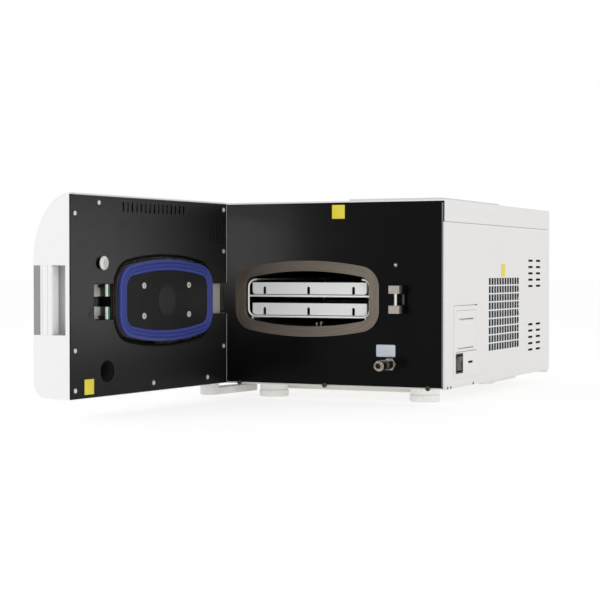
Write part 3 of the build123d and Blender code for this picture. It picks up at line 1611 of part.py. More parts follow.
# Lock hook: a hub, an arm and a curved finger that swings round the keeper's pin
pin_reach = (keeper_x + door_width / 2 - hook_s, -door_gap + keeper_pin_depth - hook_t)
pin_distance = sqrt(pin_reach[0] ** 2 + pin_reach[1] ** 2)
finger_inner = pin_distance + keeper_pin_radius + hook_play
finger_outer = finger_inner + hook_finger
finger_tip = 12
finger_root = -30
arm_angle = 12
hook_arm_sink = 2.0
hook_low = lock_level - hook_thick / 2
with BuildPart() as lock_hook:
    with BuildSketch(shifted(door_level(hook_low), lock_spot)) as hook:
        arm_root = hook_hub_radius - hook_arm_sink
        for inner_radius, tip in ((finger_inner, finger_tip), (arm_root, finger_root + arm_angle)):
            with BuildLine():
                outer_arc = CenterArc((0, 0), finger_outer, finger_root, tip - finger_root)
                inner_arc = CenterArc((0, 0), inner_radius, finger_root, tip - finger_root)
                Line(outer_arc @ 0, inner_arc @ 0)
                Line(outer_arc @ 1, inner_arc @ 1)
            make_face()
        Circle(hook_hub_radius)
        Circle(hook_pin_radius + running, mode=Mode.SUBTRACT)
    extrude(hook.sketch, amount=hook_thick)
lock_hook.part.label = "lock_hook"
export_step(lock_hook.part, "parts/lock_hook.step")

# The hook's pin, with two collars that keep the hook at its height
with BuildPart() as hook_pin:
    disc(door_level(beam_low), lock_spot, hook_pin_radius, beam_height)
    collar = hook_low - beam_low - beam_web_thick - slip
    for start in (beam_low + beam_web_thick, hook_low + hook_thick + slip):
        disc(door_level(start), lock_spot, hook_hub_radius - hook_arm_sink, collar)
hook_pin.part.label = "hook_pin"
export_step(hook_pin.part, "parts/hook_pin.step")

# Lock motor in the beam, beside the hook
motor_reach = (64.0, 14.0)
motor_s = (hook_s - motor_reach[0], hook_s - motor_reach[1])
motor_half_height = 15.0
motor_back_gap = 2.0
motor_round = 3.0
with BuildPart() as lock_motor:
    motor_heights = (lock_level - motor_half_height, lock_level + motor_half_height)
    door_box((motor_s, (web[1], flange_span[1] - motor_back_gap), motor_heights))
    fillet(lock_motor.edges().filter_by(Axis.Z), motor_round)
lock_motor.part.label = "lock_motor"
export_step(lock_motor.part, "parts/lock_motor.step")

# Door board behind the display, on four posts, with a switch behind each key
door_board_gap = 12.0
door_post_inset = 8.0
module_inset = 2.0
switch_radius = 3.0
board_back = shell_inner - door_board_gap
board_margin = (14.0, 16.0)
board_rise = 15.0
board_drop = 20.0
board_s = (display_s[0] - board_margin[0], display_s[1] + board_margin[1])
board_height = (key_height - board_drop, display_height[1] + board_rise)
key_travel = 1.5
key_flange = 1.6
key_lap = 2.0
key_seat = shell_inner - slip
switch_tip = key_seat - key_flange - key_travel - slip
with BuildPart() as door_board:
    door_box((board_s, (board_back, board_back + board_sheet), board_height))
    front = board_back + board_sheet
    for s in (board_s[0] + door_post_inset, board_s[1] - door_post_inset):
        for height in (board_height[0] + door_post_inset, board_height[1] - door_post_inset):
            door_bore((s, height), post_radius, (front, shell_inner), Mode.ADD)
    module = (
        (display_s[0] + module_inset, display_s[1] - module_inset),
        (front, shell_inner - slip),
        (display_height[0] + module_inset, display_height[1] - module_inset),
    )
    door_box(module)
    for s in key_s:
        door_bore((s, key_height), switch_radius, (front, switch_tip), Mode.ADD)
door_board.part.label = "door_board"
export_step(door_board.part, "parts/door_board.step")

# Display window, flush in the door's outer face
with BuildPart() as display_window:
    pane = (
        (display_s[0] + slip, display_s[1] - slip),
        (shell_inner, door_thickness + slip),
        (display_height[0] + slip, display_height[1] - slip),
    )
    door_box(pane)
display_window.part.label = "display_window"
export_step(display_window.part, "parts/display_window.step")


# Start and stop keys: flanged buttons held behind the shell
def push_key(s):
    flange = (key_seat - key_flange, key_seat)
    door_bore((s, key_height), key_radius + key_lap, flange, Mode.ADD)
    door_bore((s, key_height), key_radius, (key_seat, door_thickness + key_travel), Mode.ADD)


with BuildPart() as start_key:
    push_key(key_s[0])
start_key.part.label = "start_key"
export_step(start_key.part, "parts/start_key.step")

with BuildPart() as stop_key:
    push_key(key_s[1])
stop_key.part.label = "stop_key"
export_step(stop_key.part, "parts/stop_key.step")

# Handle: an upright grip in the cup, with a ribbed strip beside it
recess_span = (recess_low, recess_high)
grip_round = 4.0
strip_inset = 0.5
with BuildPart() as handle_grip:
    door_box(((door_width - grip_thick, door_width), grip_t, recess_span))
    fillet(handle_grip.edges().filter_by(Axis.Z), grip_round)
handle_grip.part.label = "handle_grip"
export_step(handle_grip.part, "parts/handle_grip.step")

with BuildPart() as handle_strip:
    strip_end = door_width - strip_inset
    door_box(((strip_end - strip_thick, strip_end), strip_t, recess_span))
handle_strip.part.label = "handle_strip"
export_step(handle_strip.part, "parts/handle_strip.step")

# Chrome stud on the door's inner panel
stud_spot = (382.4, 216.4)
stud_radius = 11.5
stud_proud = 11.5
stud_neck_radius = 9.5
stud_head = 6.0
stud_round = 2.0
with BuildPart() as door_stud:
    head = (-stud_proud, -stud_proud + stud_head)
    door_bore(stud_spot, stud_neck_radius, (head[1], 0.0), Mode.ADD)
    door_bore(stud_spot, stud_radius, head, Mode.ADD)
    fillet(door_stud.edges().filter_by(door_face(0)).group_by(Axis.X)[-1], stud_round)
door_stud.part.label = "door_stud"
export_step(door_stud.part, "parts/door_stud.step")

# Screws of the inner panel and of the lid's cover
door_screw_high = 2.4
lid_screw_high = 1.6
lid_screw_radius = 5.2
with BuildPart() as door_screws:
    for spot in door_screw_spots + [top_screw_spot]:
        door_bore(spot, screw_head_radius, (-door_screw_high, 0.0), Mode.ADD)
        door_bore(spot, screw_shank_radius - running, (0.0, door_panel_sheet), Mode.ADD)
    cover_face = -seal_proud + lid_cover_sink
    for across in (-lid_screw_x, lid_screw_x):
        for up in (-lid_screw_z, lid_screw_z):
            spot = (lid_s + lid_middle_shift + across, lock_level + up)
            head = (cover_face - lid_screw_high, cover_face)
            door_bore(spot, lid_screw_radius, head, Mode.ADD)
door_screws.part.label = "door_screws"
export_step(door_screws.part, "parts/door_screws.step")
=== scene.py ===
"""Looks of the bench autoclave: finishes, fine pieces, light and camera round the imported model."""

import json
import math

import bmesh
import bpy
import numpy as np
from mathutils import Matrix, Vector


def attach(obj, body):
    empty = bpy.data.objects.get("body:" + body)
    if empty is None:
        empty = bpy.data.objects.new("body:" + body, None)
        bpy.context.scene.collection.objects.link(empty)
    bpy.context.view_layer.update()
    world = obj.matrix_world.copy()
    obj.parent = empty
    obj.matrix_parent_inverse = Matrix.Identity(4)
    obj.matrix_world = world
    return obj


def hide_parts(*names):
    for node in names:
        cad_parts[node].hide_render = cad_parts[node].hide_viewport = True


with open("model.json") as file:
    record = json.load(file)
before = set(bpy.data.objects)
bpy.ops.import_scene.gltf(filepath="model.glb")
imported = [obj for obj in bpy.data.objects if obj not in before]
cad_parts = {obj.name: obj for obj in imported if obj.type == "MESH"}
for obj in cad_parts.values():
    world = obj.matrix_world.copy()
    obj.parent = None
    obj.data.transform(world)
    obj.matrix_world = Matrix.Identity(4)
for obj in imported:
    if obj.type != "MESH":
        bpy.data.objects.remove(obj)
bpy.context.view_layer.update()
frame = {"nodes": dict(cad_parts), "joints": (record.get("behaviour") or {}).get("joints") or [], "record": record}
nodes = frame["nodes"]
joints = {joint["name"]: joint for joint in frame["joints"]}

MM = 0.001
EAST, BACK, UP = np.eye(3)


# Places: a plane with two directions on it and one out of it, measured in millimetres
class Place:
    """Turns (across, up, out) in millimetres into points of the row frame in metres."""

    def __init__(self, origin, across, up, out):
        self.origin, self.axes = np.asarray(origin, float), np.array([across, up, out], float)

    def at(self, points):
        """Points of this place, in metres."""
        return (self.origin + np.asarray(points, float) @ self.axes) * MM

    def span(self, node):
        """A node's lowest and highest (across, up, out), to a hundredth of a millimetre."""
        mesh = nodes[node].data
        spots = np.empty(3 * len(mesh.vertices), np.float32)
        mesh.vertices.foreach_get("co", spots)
        local = (spots.reshape(-1, 3).astype(float) / MM - self.origin) @ self.axes.T
        return local.min(axis=0).round(2), local.max(axis=0).round(2)

    def middle(self, node):
        """The (across, up) of a node's middle, to a tenth of a millimetre."""
        low, high = self.span(node)
        return ((low + high)[:2] / 2).round(1)


# The cabinet: the middle of its front on the bench, half its width, and its depth
row_frame = Place(np.zeros(3), EAST, BACK, UP)
left_low, right_high = row_frame.span("side_panel_left")[0], row_frame.span("side_panel_right")[1]
CABINET = np.array([(left_low[0] + right_high[0]) / 2, left_low[1], 0.0])
HALF_WIDTH = (right_high[0] - left_low[0]) / 2
CABINET_DEPTH = right_high[1] - left_low[1]
front = Place(CABINET, EAST, UP, -BACK)
rear = Place(CABINET + CABINET_DEPTH * BACK, -EAST, UP, BACK)
right_side = Place(CABINET + HALF_WIDTH * EAST, BACK, UP, EAST)
left_side = Place(CABINET - HALF_WIDTH * EAST, -BACK, UP, -EAST)
bench = Place(CABINET, EAST, BACK, UP)
CHAMBER = front.middle("chamber_flange")
FLANGE_HALF = (141.6, 68.2)

# The open door's own axes: s along it from the hinge edge, t out through it, h up.
# Its hinge pin stands in from that edge and from the inner face
PIN_S, PIN_T = 20.0, 25.0
DOOR_ANGLE = -math.radians(joints["door_hinge"]["range_deg"][0])
DOOR_S = np.array([math.cos(DOOR_ANGLE), -math.sin(DOOR_ANGLE), 0.0])
DOOR_T = np.array([-math.sin(DOOR_ANGLE), -math.cos(DOOR_ANGLE), 0.0])
DOOR_CORNER = np.array(joints["door_hinge"]["pos_m"]) / MM - PIN_S * DOOR_S - PIN_T * DOOR_T
DOOR_CORNER[2] = row_frame.span("door_panel")[0][2]
door_inner = Place(DOOR_CORNER, DOOR_S, UP, -DOOR_T)
shell_low, shell_high = door_inner.span("door_shell")
DOOR_LENGTH, DOOR_THICK = shell_high[0], -shell_low[2]
door_outer = Place(DOOR_CORNER + DOOR_THICK * DOOR_T, DOOR_S, UP, DOOR_T)
door_free_edge = Place(DOOR_CORNER + DOOR_LENGTH * DOOR_S, DOOR_T, UP, DOOR_S)
door_section = Place(DOOR_CORNER, DOOR_T, DOOR_S, UP)


# Shader maths: a wire carries one socket, and arithmetic on it adds Math nodes
class Wire:
    """One output socket among a paint's nodes."""

    def __init__(self, mixer, socket):
        self.mixer, self.socket = mixer, socket

    def maths(self, operation, first, second):
        return self.mixer.node("ShaderNodeMath", {"operation": operation}, {0: first, 1: second})

    def __add__(self, other):
        return self.maths("ADD", self, other)

    def __sub__(self, other):
        return self.maths("SUBTRACT", self, other)

    def __rsub__(self, other):
        return self.maths("SUBTRACT", other, self)

    def __mul__(self, other):
        return self.maths("MULTIPLY", self, other)

    def __truediv__(self, other):
        return self.maths("DIVIDE", self, other)

    def __pow__(self, other):
        return self.maths("POWER", self, other)

    def __abs__(self):
        return self.maths("ABSOLUTE", self, 0.0)

    __radd__ = __add__
    __rmul__ = __mul__


class Mixer:
    """Adds nodes to one tree."""

    def __init__(self, tree):
        self.tree = tree

    def join(self, socket, value):
        """Links a wire to a socket, or sets a plain value on it."""
        if isinstance(value, Wire):
            self.tree.links.new(value.socket, socket)
        else:
            socket.default_value = value

    def node(self, kind, settings=None, inputs=None, output=0):
        """Adds a node: its settings first, then the values or links of its sockets."""
        made = self.tree.nodes.new(kind)
        for name, value in (settings or {}).items():
            setattr(made, name, value)
        for name, value in (inputs or {}).items():
            self.join(made.inputs[name], value)
        return Wire(self, made.outputs[output])

    def spread(self, value, low, high, to_low=0.0, to_high=1.0):
        """The value's stretch from low to high, eased over to another stretch and held at its ends."""
        sockets = {0: value, 1: low, 2: high, 3: to_low, 4: to_high}
        settings = {"interpolation_type": "SMOOTHSTEP", "clamp": True}
        return self.node("ShaderNodeMapRange", settings, sockets)

    def blend(self, share, first, second):
        """One colour passing to another with the share."""
        sockets = {0: share, 6: first, 7: second}
        return self.node("ShaderNodeMix", {"data_type": "RGBA"}, sockets, output=2)

    def backdrop(self):
        """1 for rays that show the background: from the camera, off gloss and through glass."""
        rays = [self.node("ShaderNodeLightPath", output=output) for output in
                ("Is Camera Ray", "Is Glossy Ray", "Is Transmission Ray")]
        return self.spread(rays[0] + rays[1] + rays[2], 0.0, 1.0)


class Paint(Mixer):
    """One material: its nodes, its shader and the few patterns that its finish is made from."""

    def __init__(self, name, edge=0.0005, **shader):
        self.material = bpy.data.materials.new(name)
        self.material.use_nodes = True
        super().__init__(self.material.node_tree)
        self.shader = self.tree.nodes["Principled BSDF"]
        self.place = Wire(self, self.tree.nodes.new("ShaderNodeTexCoord").outputs["Object"])
        self.edge = edge
        self.set(**shader)

    def set(self, **values):
        """Puts values or wires on the shader's sockets; a name's underscores stand for spaces."""
        for name, value in values.items():
            self.join(self.shader.inputs[name.replace("_", " ")], value)
        return self

    def stretched(self, stretch, centre=(0, 0, 0), turn=0.0):
        """Object coordinates turned about the upright and shrunk, so that a pattern is drawn out."""
        spots = {"Vector": self.place, "Location": centre, "Rotation": (0, 0, turn), "Scale": stretch}
        return self.node("ShaderNodeMapping", {"vector_type": "TEXTURE"}, spots)

    def noise(self, scale, stretch=(1, 1, 1), detail=3.0, rough=0.55, turn=0.0, spots=None):
        """Cloudy values from 0 to 1, with so many clouds to the metre."""
        spots = spots or self.stretched(stretch, turn=turn)
        sockets = {"Vector": spots, "Scale": scale, "Detail": detail, "Roughness": rough}
        return self.node("ShaderNodeTexNoise", inputs=sockets)

    def scatter(self, scale, output=0):
        """Distances to scattered points, so many to the metre, or with output 1 a colour for each."""
        sockets = {"Vector": self.place, "Scale": scale}
        return self.node("ShaderNodeTexVoronoi", inputs=sockets, output=output)

    def bands(self, pitch, axis):
        """Even soft bands across an axis, one to each pitch in metres."""
        sockets = {"Vector": self.place, "Scale": math.pi / 10 / pitch}
        return self.node("ShaderNodeTexWave", {"bands_direction": axis}, sockets, output=1)

    def along(self, axis, centre=(0, 0, 0), turn=0.0):
        """One of the object coordinates by itself, in metres."""
        sockets = {0: self.stretched((1, 1, 1), centre, turn)}
        return self.node("ShaderNodeSeparateXYZ", inputs=sockets, output="XYZ".index(axis))

    def bump(self, height, strength, distance):
        """A normal that follows the height, over edges that are rounded off a little."""
        sockets = {"Height": height, "Strength": strength, "Distance": distance}
        if self.edge:
            sockets["Normal"] = self.node("ShaderNodeBevel", {"samples": 4}, {"Radius": self.edge})
        return self.node("ShaderNodeBump", inputs=sockets)

    def over(self, share, code):
        """Lays a colour over the paint's own where the share is 1."""
        own = Wire(self, self.shader.inputs["Base Color"].links[0].from_socket)
        return self.set(Base_Color=self.blend(share, own, colour(code)))


def colour(code, shade=1.0):
    """A written colour as light values, darkened or lightened by the shade."""
    parts = np.array([int(code[start:start + 2], 16) for start in (0, 2, 4)]) / 255
    light = np.where(parts <= 0.04045, parts / 12.92, ((parts + 0.055) / 1.055) ** 2.4)
    return (*np.clip(light * shade, 0, 1).tolist(), 1.0)


# Finishes
def enamel(name, code, roughness, grain=700.0, depth=0.1, specular=0.5, drift=0.02, **shader):
    """Powder coat or lacquer: faint orange peel, slow drifts of tone, scuffs and specks of dust."""
    paint = Paint(name, Specular_IOR_Level=specular, **shader)
    drifts = paint.noise(7.0, detail=4.0)
    peel = paint.noise(grain, detail=2.0)
    specks = paint.spread(paint.scatter(240.0), 0.03, 0.09)
    scuffs = paint.spread(paint.noise(34.0, (5, 1, 1), 5.0), 0.56, 0.74)
    tone = paint.blend(drifts, colour(code, 1 - drift), colour(code, 1 + drift))
    return paint.set(
        Base_Color=paint.blend(specks * 0.1 + 0.9, colour(code, 0.8), tone),
        Roughness=roughness - 0.05 + drifts * 0.08 + scuffs * 0.06,
        Normal=paint.bump(peel, depth, 0.0001),
    )


def brushed(name, code, roughness, stretch, turn=0.0, depth=0.25, contrast=0.1, grain=520.0, **shader):
    """Brushed metal: fine lines drawn out one way, wider bands among them, faint stains."""
    paint = Paint(name, **{"Metallic": 1.0, **shader})
    fine = paint.noise(grain, stretch, 4.0, 0.7, turn)
    broad = paint.noise(grain / 9, stretch, 2.0, turn=turn)
    stains = paint.noise(16.0, detail=5.0)
    lines = fine * 0.6 + broad * 0.4
    tone = paint.blend(lines, colour(code, 1 - contrast), colour(code, 1 + contrast))
    return paint.set(
        Base_Color=paint.blend(stains * 0.12, tone, colour(code, 0.72)),
        Roughness=roughness - 0.1 + fine * 0.14 + stains * 0.08,
        Normal=paint.bump(fine, depth, 0.00006),
    )


def plated(name, code, roughness, pits=0.15):
    """Plated or polished metal: near mirror, with a little haze, pits and handling marks."""
    paint = Paint(name, Metallic=1.0)
    haze = paint.noise(90.0, detail=5.0)
    holes = paint.spread(paint.scatter(700.0), 0.12, 0.02)
    tone = paint.blend(haze, colour(code, 0.92), colour(code, 1.06))
    return paint.set(
        Base_Color=paint.blend(holes * pits, tone, colour(code, 0.5)),
        Roughness=roughness + haze * 0.07 + holes * 0.1,
        Normal=paint.bump(haze, 0.05, 0.0001),
    )


def cast(name, code, roughness, metallic=1.0, grain=420.0, depth=0.4, contrast=0.2):
    """A cast, felted or blasted skin: close pits, with cloudy darker hollows."""
    paint = Paint(name, Metallic=metallic)
    pits = paint.scatter(grain)
    clouds = paint.noise(45.0, detail=5.0)
    share = paint.spread(pits * 0.7 + clouds * 0.5, 0.2, 0.8)
    return paint.set(
        Base_Color=paint.blend(share, colour(code, 1 - contrast), colour(code, 1 + contrast / 2)),
        Roughness=roughness + clouds * 0.12,
        Normal=paint.bump(pits + clouds * 0.5, depth, 0.0002),
    )


def moulded(name, code, roughness, grain=1200.0, depth=0.08, drift=0.03, **shader):
    """Moulded plastic: spark-eroded grain, slight flow marks and a satin face."""
    paint = Paint(name, **shader)
    sparks = paint.noise(grain, detail=3.0)
    flow = paint.noise(11.0, (1, 1, 3), 4.0)
    return paint.set(
        Base_Color=paint.blend(flow, colour(code, 1 - drift), colour(code, 1 + drift)),
        Roughness=roughness - 0.04 + sparks * 0.05 + flow * 0.06,
        Normal=paint.bump(sparks, depth, 0.00012),
    )


def ring_brushed(name, code):
    """Steel ring ground along its own length: streaks on coordinates of turn and distance out.

    The distance out is the fourth root of the sum of fourth powers of both shares of the half sizes,
    which follows a rounded oblong, and the turn is the angle about the ring's middle."""
    paint = Paint(name, Metallic=1.0)
    middle = front.at((*CHAMBER, 0.0))
    across = paint.along("X", middle) / (FLANGE_HALF[0] * MM)
    up = paint.along("Z", middle) / (FLANGE_HALF[1] * MM)
    out = (abs(across) ** 4 + abs(up) ** 4) ** 0.25
    turn = across.maths("ARCTAN2", up, across)
    spots = paint.node("ShaderNodeCombineXYZ", inputs={0: turn * 0.12, 1: out * 3.0, 2: 0.0})
    fine = paint.noise(42.0, detail=5.0, rough=0.65, spots=spots)
    broad = paint.noise(9.0, detail=2.0, spots=spots)
    heat = paint.noise(13.0, detail=4.0)
    lines = paint.spread(fine * 0.6 + broad * 0.4, 0.25, 0.75)
    tone = paint.blend(lines, colour(code, 0.72), colour(code, 1.3))
    return paint.set(
        Base_Color=paint.blend(heat * 0.3, tone, colour("6A4E3A", 0.9)),
        Roughness=0.36 + fine * 0.2,
        Normal=paint.bump(fine, 0.35, 0.0001),
    )


def spangled(name, code):
    """Galvanised sheet: large crystals, each with its own tone and gloss."""
    paint = Paint(name, Metallic=1.0)
    crystal = paint.scatter(85.0, output=1)
    tone = paint.node("ShaderNodeSeparateColor", inputs={0: crystal})
    frost = paint.noise(300.0, (3, 1, 1))
    return paint.set(
        Base_Color=paint.blend(tone * 0.7 + frost * 0.3, colour(code, 0.78), colour(code, 1.15)),
        Roughness=0.3 + tone * 0.18,
        Normal=paint.bump(frost, 0.1, 0.0001),
    )


def board(name, code):
    """Circuit board: etched tracks under green lacquer, tinned pads and small drilled eyes."""
    paint = Paint(name)
    blocks = paint.node("ShaderNodeSeparateColor", inputs={0: paint.scatter(70.0, output=1)})
    tracks = paint.spread(paint.bands(0.0021, "Z") * paint.spread(blocks, 0.35, 0.5), 0.45, 0.6)
    pads = paint.spread(paint.scatter(330.0), 0.26, 0.2)
    lacquer = paint.blend(tracks, colour(code, 0.8), colour(code, 1.5))
    return paint.set(
        Base_Color=paint.blend(pads, lacquer, colour("C9C6B4")),
        Metallic=pads * 0.8,
        Roughness=0.34 - pads * 0.08,
        Normal=paint.bump(tracks + pads, 0.3, 0.0001),
    )


def finned(name, code):
    """Close cooling fins over bent tubes, with painted highlights at their edges and painted shade between them.
    """
    paint = Paint(name, Metallic=0.4)
    fins = paint.bands(0.0032, "Y")
    dents = paint.noise(60.0, (1, 1, 4), 4.0)
    lit = paint.spread(fins + dents * 0.3, 0.2, 1.1)
    return paint.set(
        Base_Color=paint.blend(lit, colour(code, 0.35), colour(code, 1.7)),
        Roughness=0.42 + dents * 0.15,
        Normal=paint.bump(fins, 0.8, 0.0008),
    )


# Shapes
def cells(rows, columns, closed):
    """Corner numbers of a grid's cells; its columns wrap round, and its rows too when closed."""
    row, column = np.meshgrid(np.arange(rows - (not closed)), np.arange(columns), indexing="ij")
    beside, below = (column + 1) % columns, (row + 1) % rows
    corners = (row * columns + column, row * columns + beside,
               below * columns + beside, below * columns + column)
    return np.stack(corners, -1).reshape(-1, 4)


SEAM = 2e-6  # points nearer than this, in metres, are one
CREASE = math.radians(32)  # edges that turn by more than this stay sharp


def piece(name, sheets, paint, body, hides=()):
    """Joins grids of points into one piece, merges seams and poles, and puts it on its body."""
    corners, faces, start = [], [], 0
    for points, closed in sheets:
        rows, columns = points.shape[:2]
        corners.append(points.reshape(-1, 3))
        faces.append(cells(rows, columns, closed) + start)
        start += rows * columns
    mesh = bpy.data.meshes.new(name)
    mesh.from_pydata(np.concatenate(corners).tolist(), [], np.concatenate(faces).tolist())
    work = bmesh.new()
    work.from_mesh(mesh)
    bmesh.ops.remove_doubles(work, verts=work.verts, dist=SEAM)
    bmesh.ops.recalc_face_normals(work, faces=work.faces)
    work.to_mesh(mesh)
    work.free()
    mesh.materials.append(paint.material)
    mesh.shade_smooth()
    mesh.set_sharp_from_angle(angle=CREASE)
    made = bpy.data.objects.new(name, mesh)
    bpy.context.scene.collection.objects.link(made)
    if hides:
        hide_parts(*hides)
    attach(made, body)


def rounded(reach, rise, corner, arch=None, steps=5):
    """Outline of an oblong with round corners, and with curved long sides where arch is given.

    Each direction has one point whose normal it is: on a corner's circle, or on the long side's
    circle where the direction leans from upright by less than the place where the two meet."""
    across, side, lean, drop = reach - corner, rise - corner, 0.0, 0.0
    turns = np.linspace(0, math.pi / 2, steps)
    if arch:
        drop = arch - rise
        side = math.sqrt((arch - corner) ** 2 - across ** 2) - drop
        lean = math.atan2(across, drop + side)
        turns = np.r_[np.linspace(0, math.pi / 2 - lean, steps),
                      np.linspace(math.pi / 2 - lean, math.pi / 2, steps + 4)[1:]]
    normals = np.stack([np.cos(turns), np.sin(turns)], -1)
    points = np.array([across, side]) + corner * normals
    if arch:
        high = turns > math.pi / 2 - lean + 1e-9
        points[high] = np.array([0, -drop]) + arch * normals[high]
    flips = ((1, 1), (-1, 1), (-1, -1), (1, -1))
    return tuple(
        np.concatenate([(part * flip)[::1 if flip[0] * flip[1] > 0 else -1] for flip in flips])
        for part in (points, normals)
    )


def carried(place, middle, outline, profile, closed=False):
    """A profile carried round an outline: each of its rows is the outline grown along its normals,
    shrunk to its middle by a share, at a height out of the place."""
    points, normals = outline
    rows = []
    for grow, out, share in profile:
        flat = np.asarray(middle) + (points + normals * grow) * share
        rows.append(np.column_stack([flat, np.full(len(flat), float(out))]))
    return place.at(np.array(rows)), closed


def plate(place, middle, outline, low, high, soft):
    """A flat solid on an outline, its upper rim softened by a quarter round."""
    bend = np.linspace(0, math.pi / 2, 4)
    rim = [(-soft + soft * math.cos(a), high - soft + soft * math.sin(a), 1.0) for a in bend]
    return carried(place, middle, outline, [(0, low, 0.0), (0, low, 1.0), *rim, (-soft, high, 0.0)])


def turned(place, middle, profile, steps, shape=None, closed=False):
    """A profile of radius and height turned about a middle; shape may change both with the angle."""
    angle = np.linspace(0, 2 * math.pi, steps, endpoint=False)[None, :]
    radius, out = (np.repeat(part[:, None], steps, 1) for part in np.array(profile, float).T)
    if shape:
        radius, out = shape(radius, out, angle)
    flat = (middle[0] + radius * np.cos(angle), middle[1] + radius * np.sin(angle))
    return place.at(np.stack([*flat, out], -1)), closed


def bar(place, corners, low, high, middle=None):
    """A closed outline carried straight out of the place, its ends capped from the middle."""
    corners = np.asarray(corners, float)
    middle = corners.mean(axis=0) if middle is None else middle
    rows = [(0, low, 0.0), (0, low, 1.0), (0, high, 1.0), (0, high, 0.0)]
    return carried(place, middle, (corners - middle, corners * 0), rows)


def stacked(place, rows):
    """Rounded oblongs, each with its own middle, half sizes, corner and height, joined in order;
    the first and the last close on their middles."""
    grid = []
    for middle, half, corner, out in rows:
        flat = rounded(*half, corner)[0] + np.asarray(middle)
        grid.append(np.column_stack([flat, np.full(len(flat), float(out))]))
    grid = np.array([grid[0], *grid, grid[-1]])
    grid[[0, -1], :, :2] = np.array([rows[0][0], rows[-1][0]])[:, None]
    return place.at(grid), False


def swept(place, points, normals, section):
    """A closed section carried along an open path: each row is the path's point moved along its
    normal by the section's reach, at the section's height; both ends close on the section's middle."""
    reach, out = np.array(section, float).T
    flat = points[:, None] + normals[:, None] * reach[None, :, None]
    grid = np.concatenate([flat, np.broadcast_to(out[None, :, None], (*flat.shape[:2], 1))], -1)
    ends = [np.broadcast_to(row.mean(axis=0), row.shape)[None] for row in (grid[0], grid[-1])]
    return place.at(np.concatenate([ends[0], grid, ends[1]])), False


def block(place, across, up, out, corner, soft):
    """A block between two values on each axis, with rounded upright edges and a softened face."""
    half = ((across[1] - across[0]) / 2, (up[1] - up[0]) / 2)
    middle = ((across[0] + across[1]) / 2, (up[0] + up[1]) / 2)
    return plate(place, middle, rounded(*half, corner), *out, soft)


def cross_head(turn, size, depth):
    """Sinks a cross into a turned head: two slots of one width, with sloping walls and ends."""
    def sink(radius, out, angle):
        along, over = radius * np.cos(angle - turn), radius * np.sin(angle - turn)
        short = np.minimum(abs(along), abs(over))
        far = np.maximum(abs(along), abs(over))
        wall = np.clip((size * 0.2 - short) / (size * 0.12), 0, 1)
        end = np.clip((size - far) / (size * 0.25), 0, 1)
        return radius, out - depth * wall * end
    return sink


def socket_head(start, size):
    """Gives the rows of a turned head inside its socket a hexagon's sides instead of a circle."""
    def sides(radius, out, angle):
        turn = (angle + start) % (math.pi / 3) - math.pi / 6
        six = np.where((radius > 0) & (radius <= size), math.cos(math.pi / 6) / np.cos(turn), 1.0)
        return radius * six, out
    return sides


def crossed_screws(place, spots, radius, low, high):
    """Domed screw heads with a crossed recess, each turned its own way. The dome falls with the
    square of the radius, by a share of the head's height."""
    height, recess = high - low, radius * 0.6
    shares = np.r_[0:0.56:8j, 0.66, 0.78, 0.9, 0.97]
    dome = high - 0.22 * height * shares ** 2
    profile = [*zip(shares * radius, dome), (radius, high - 0.4 * height), (radius, low), (0, low)]
    return [
        turned(place, spot, profile, 40, cross_head(0.5 + 1.3 * number, recess, height * 0.6))
        for number, spot in enumerate(spots)
    ]


def socket_screws(place, spots, radius, low, high):
    """Flat screw heads with a soft rim and a six-sided socket."""
    size, depth = radius * 0.52, (high - low) * 0.75
    profile = [(0, high - depth), (size * 0.98, high - depth), (size, high - 0.05), (size + 0.1, high),
               (radius - 0.35, high), (radius - 0.1, high - 0.12), (radius, high - 0.4),
               (radius, low), (0, low)]
    return [
        turned(place, spot, profile, 36, socket_head(0.4 * number, size))
        for number, spot in enumerate(spots)
    ]


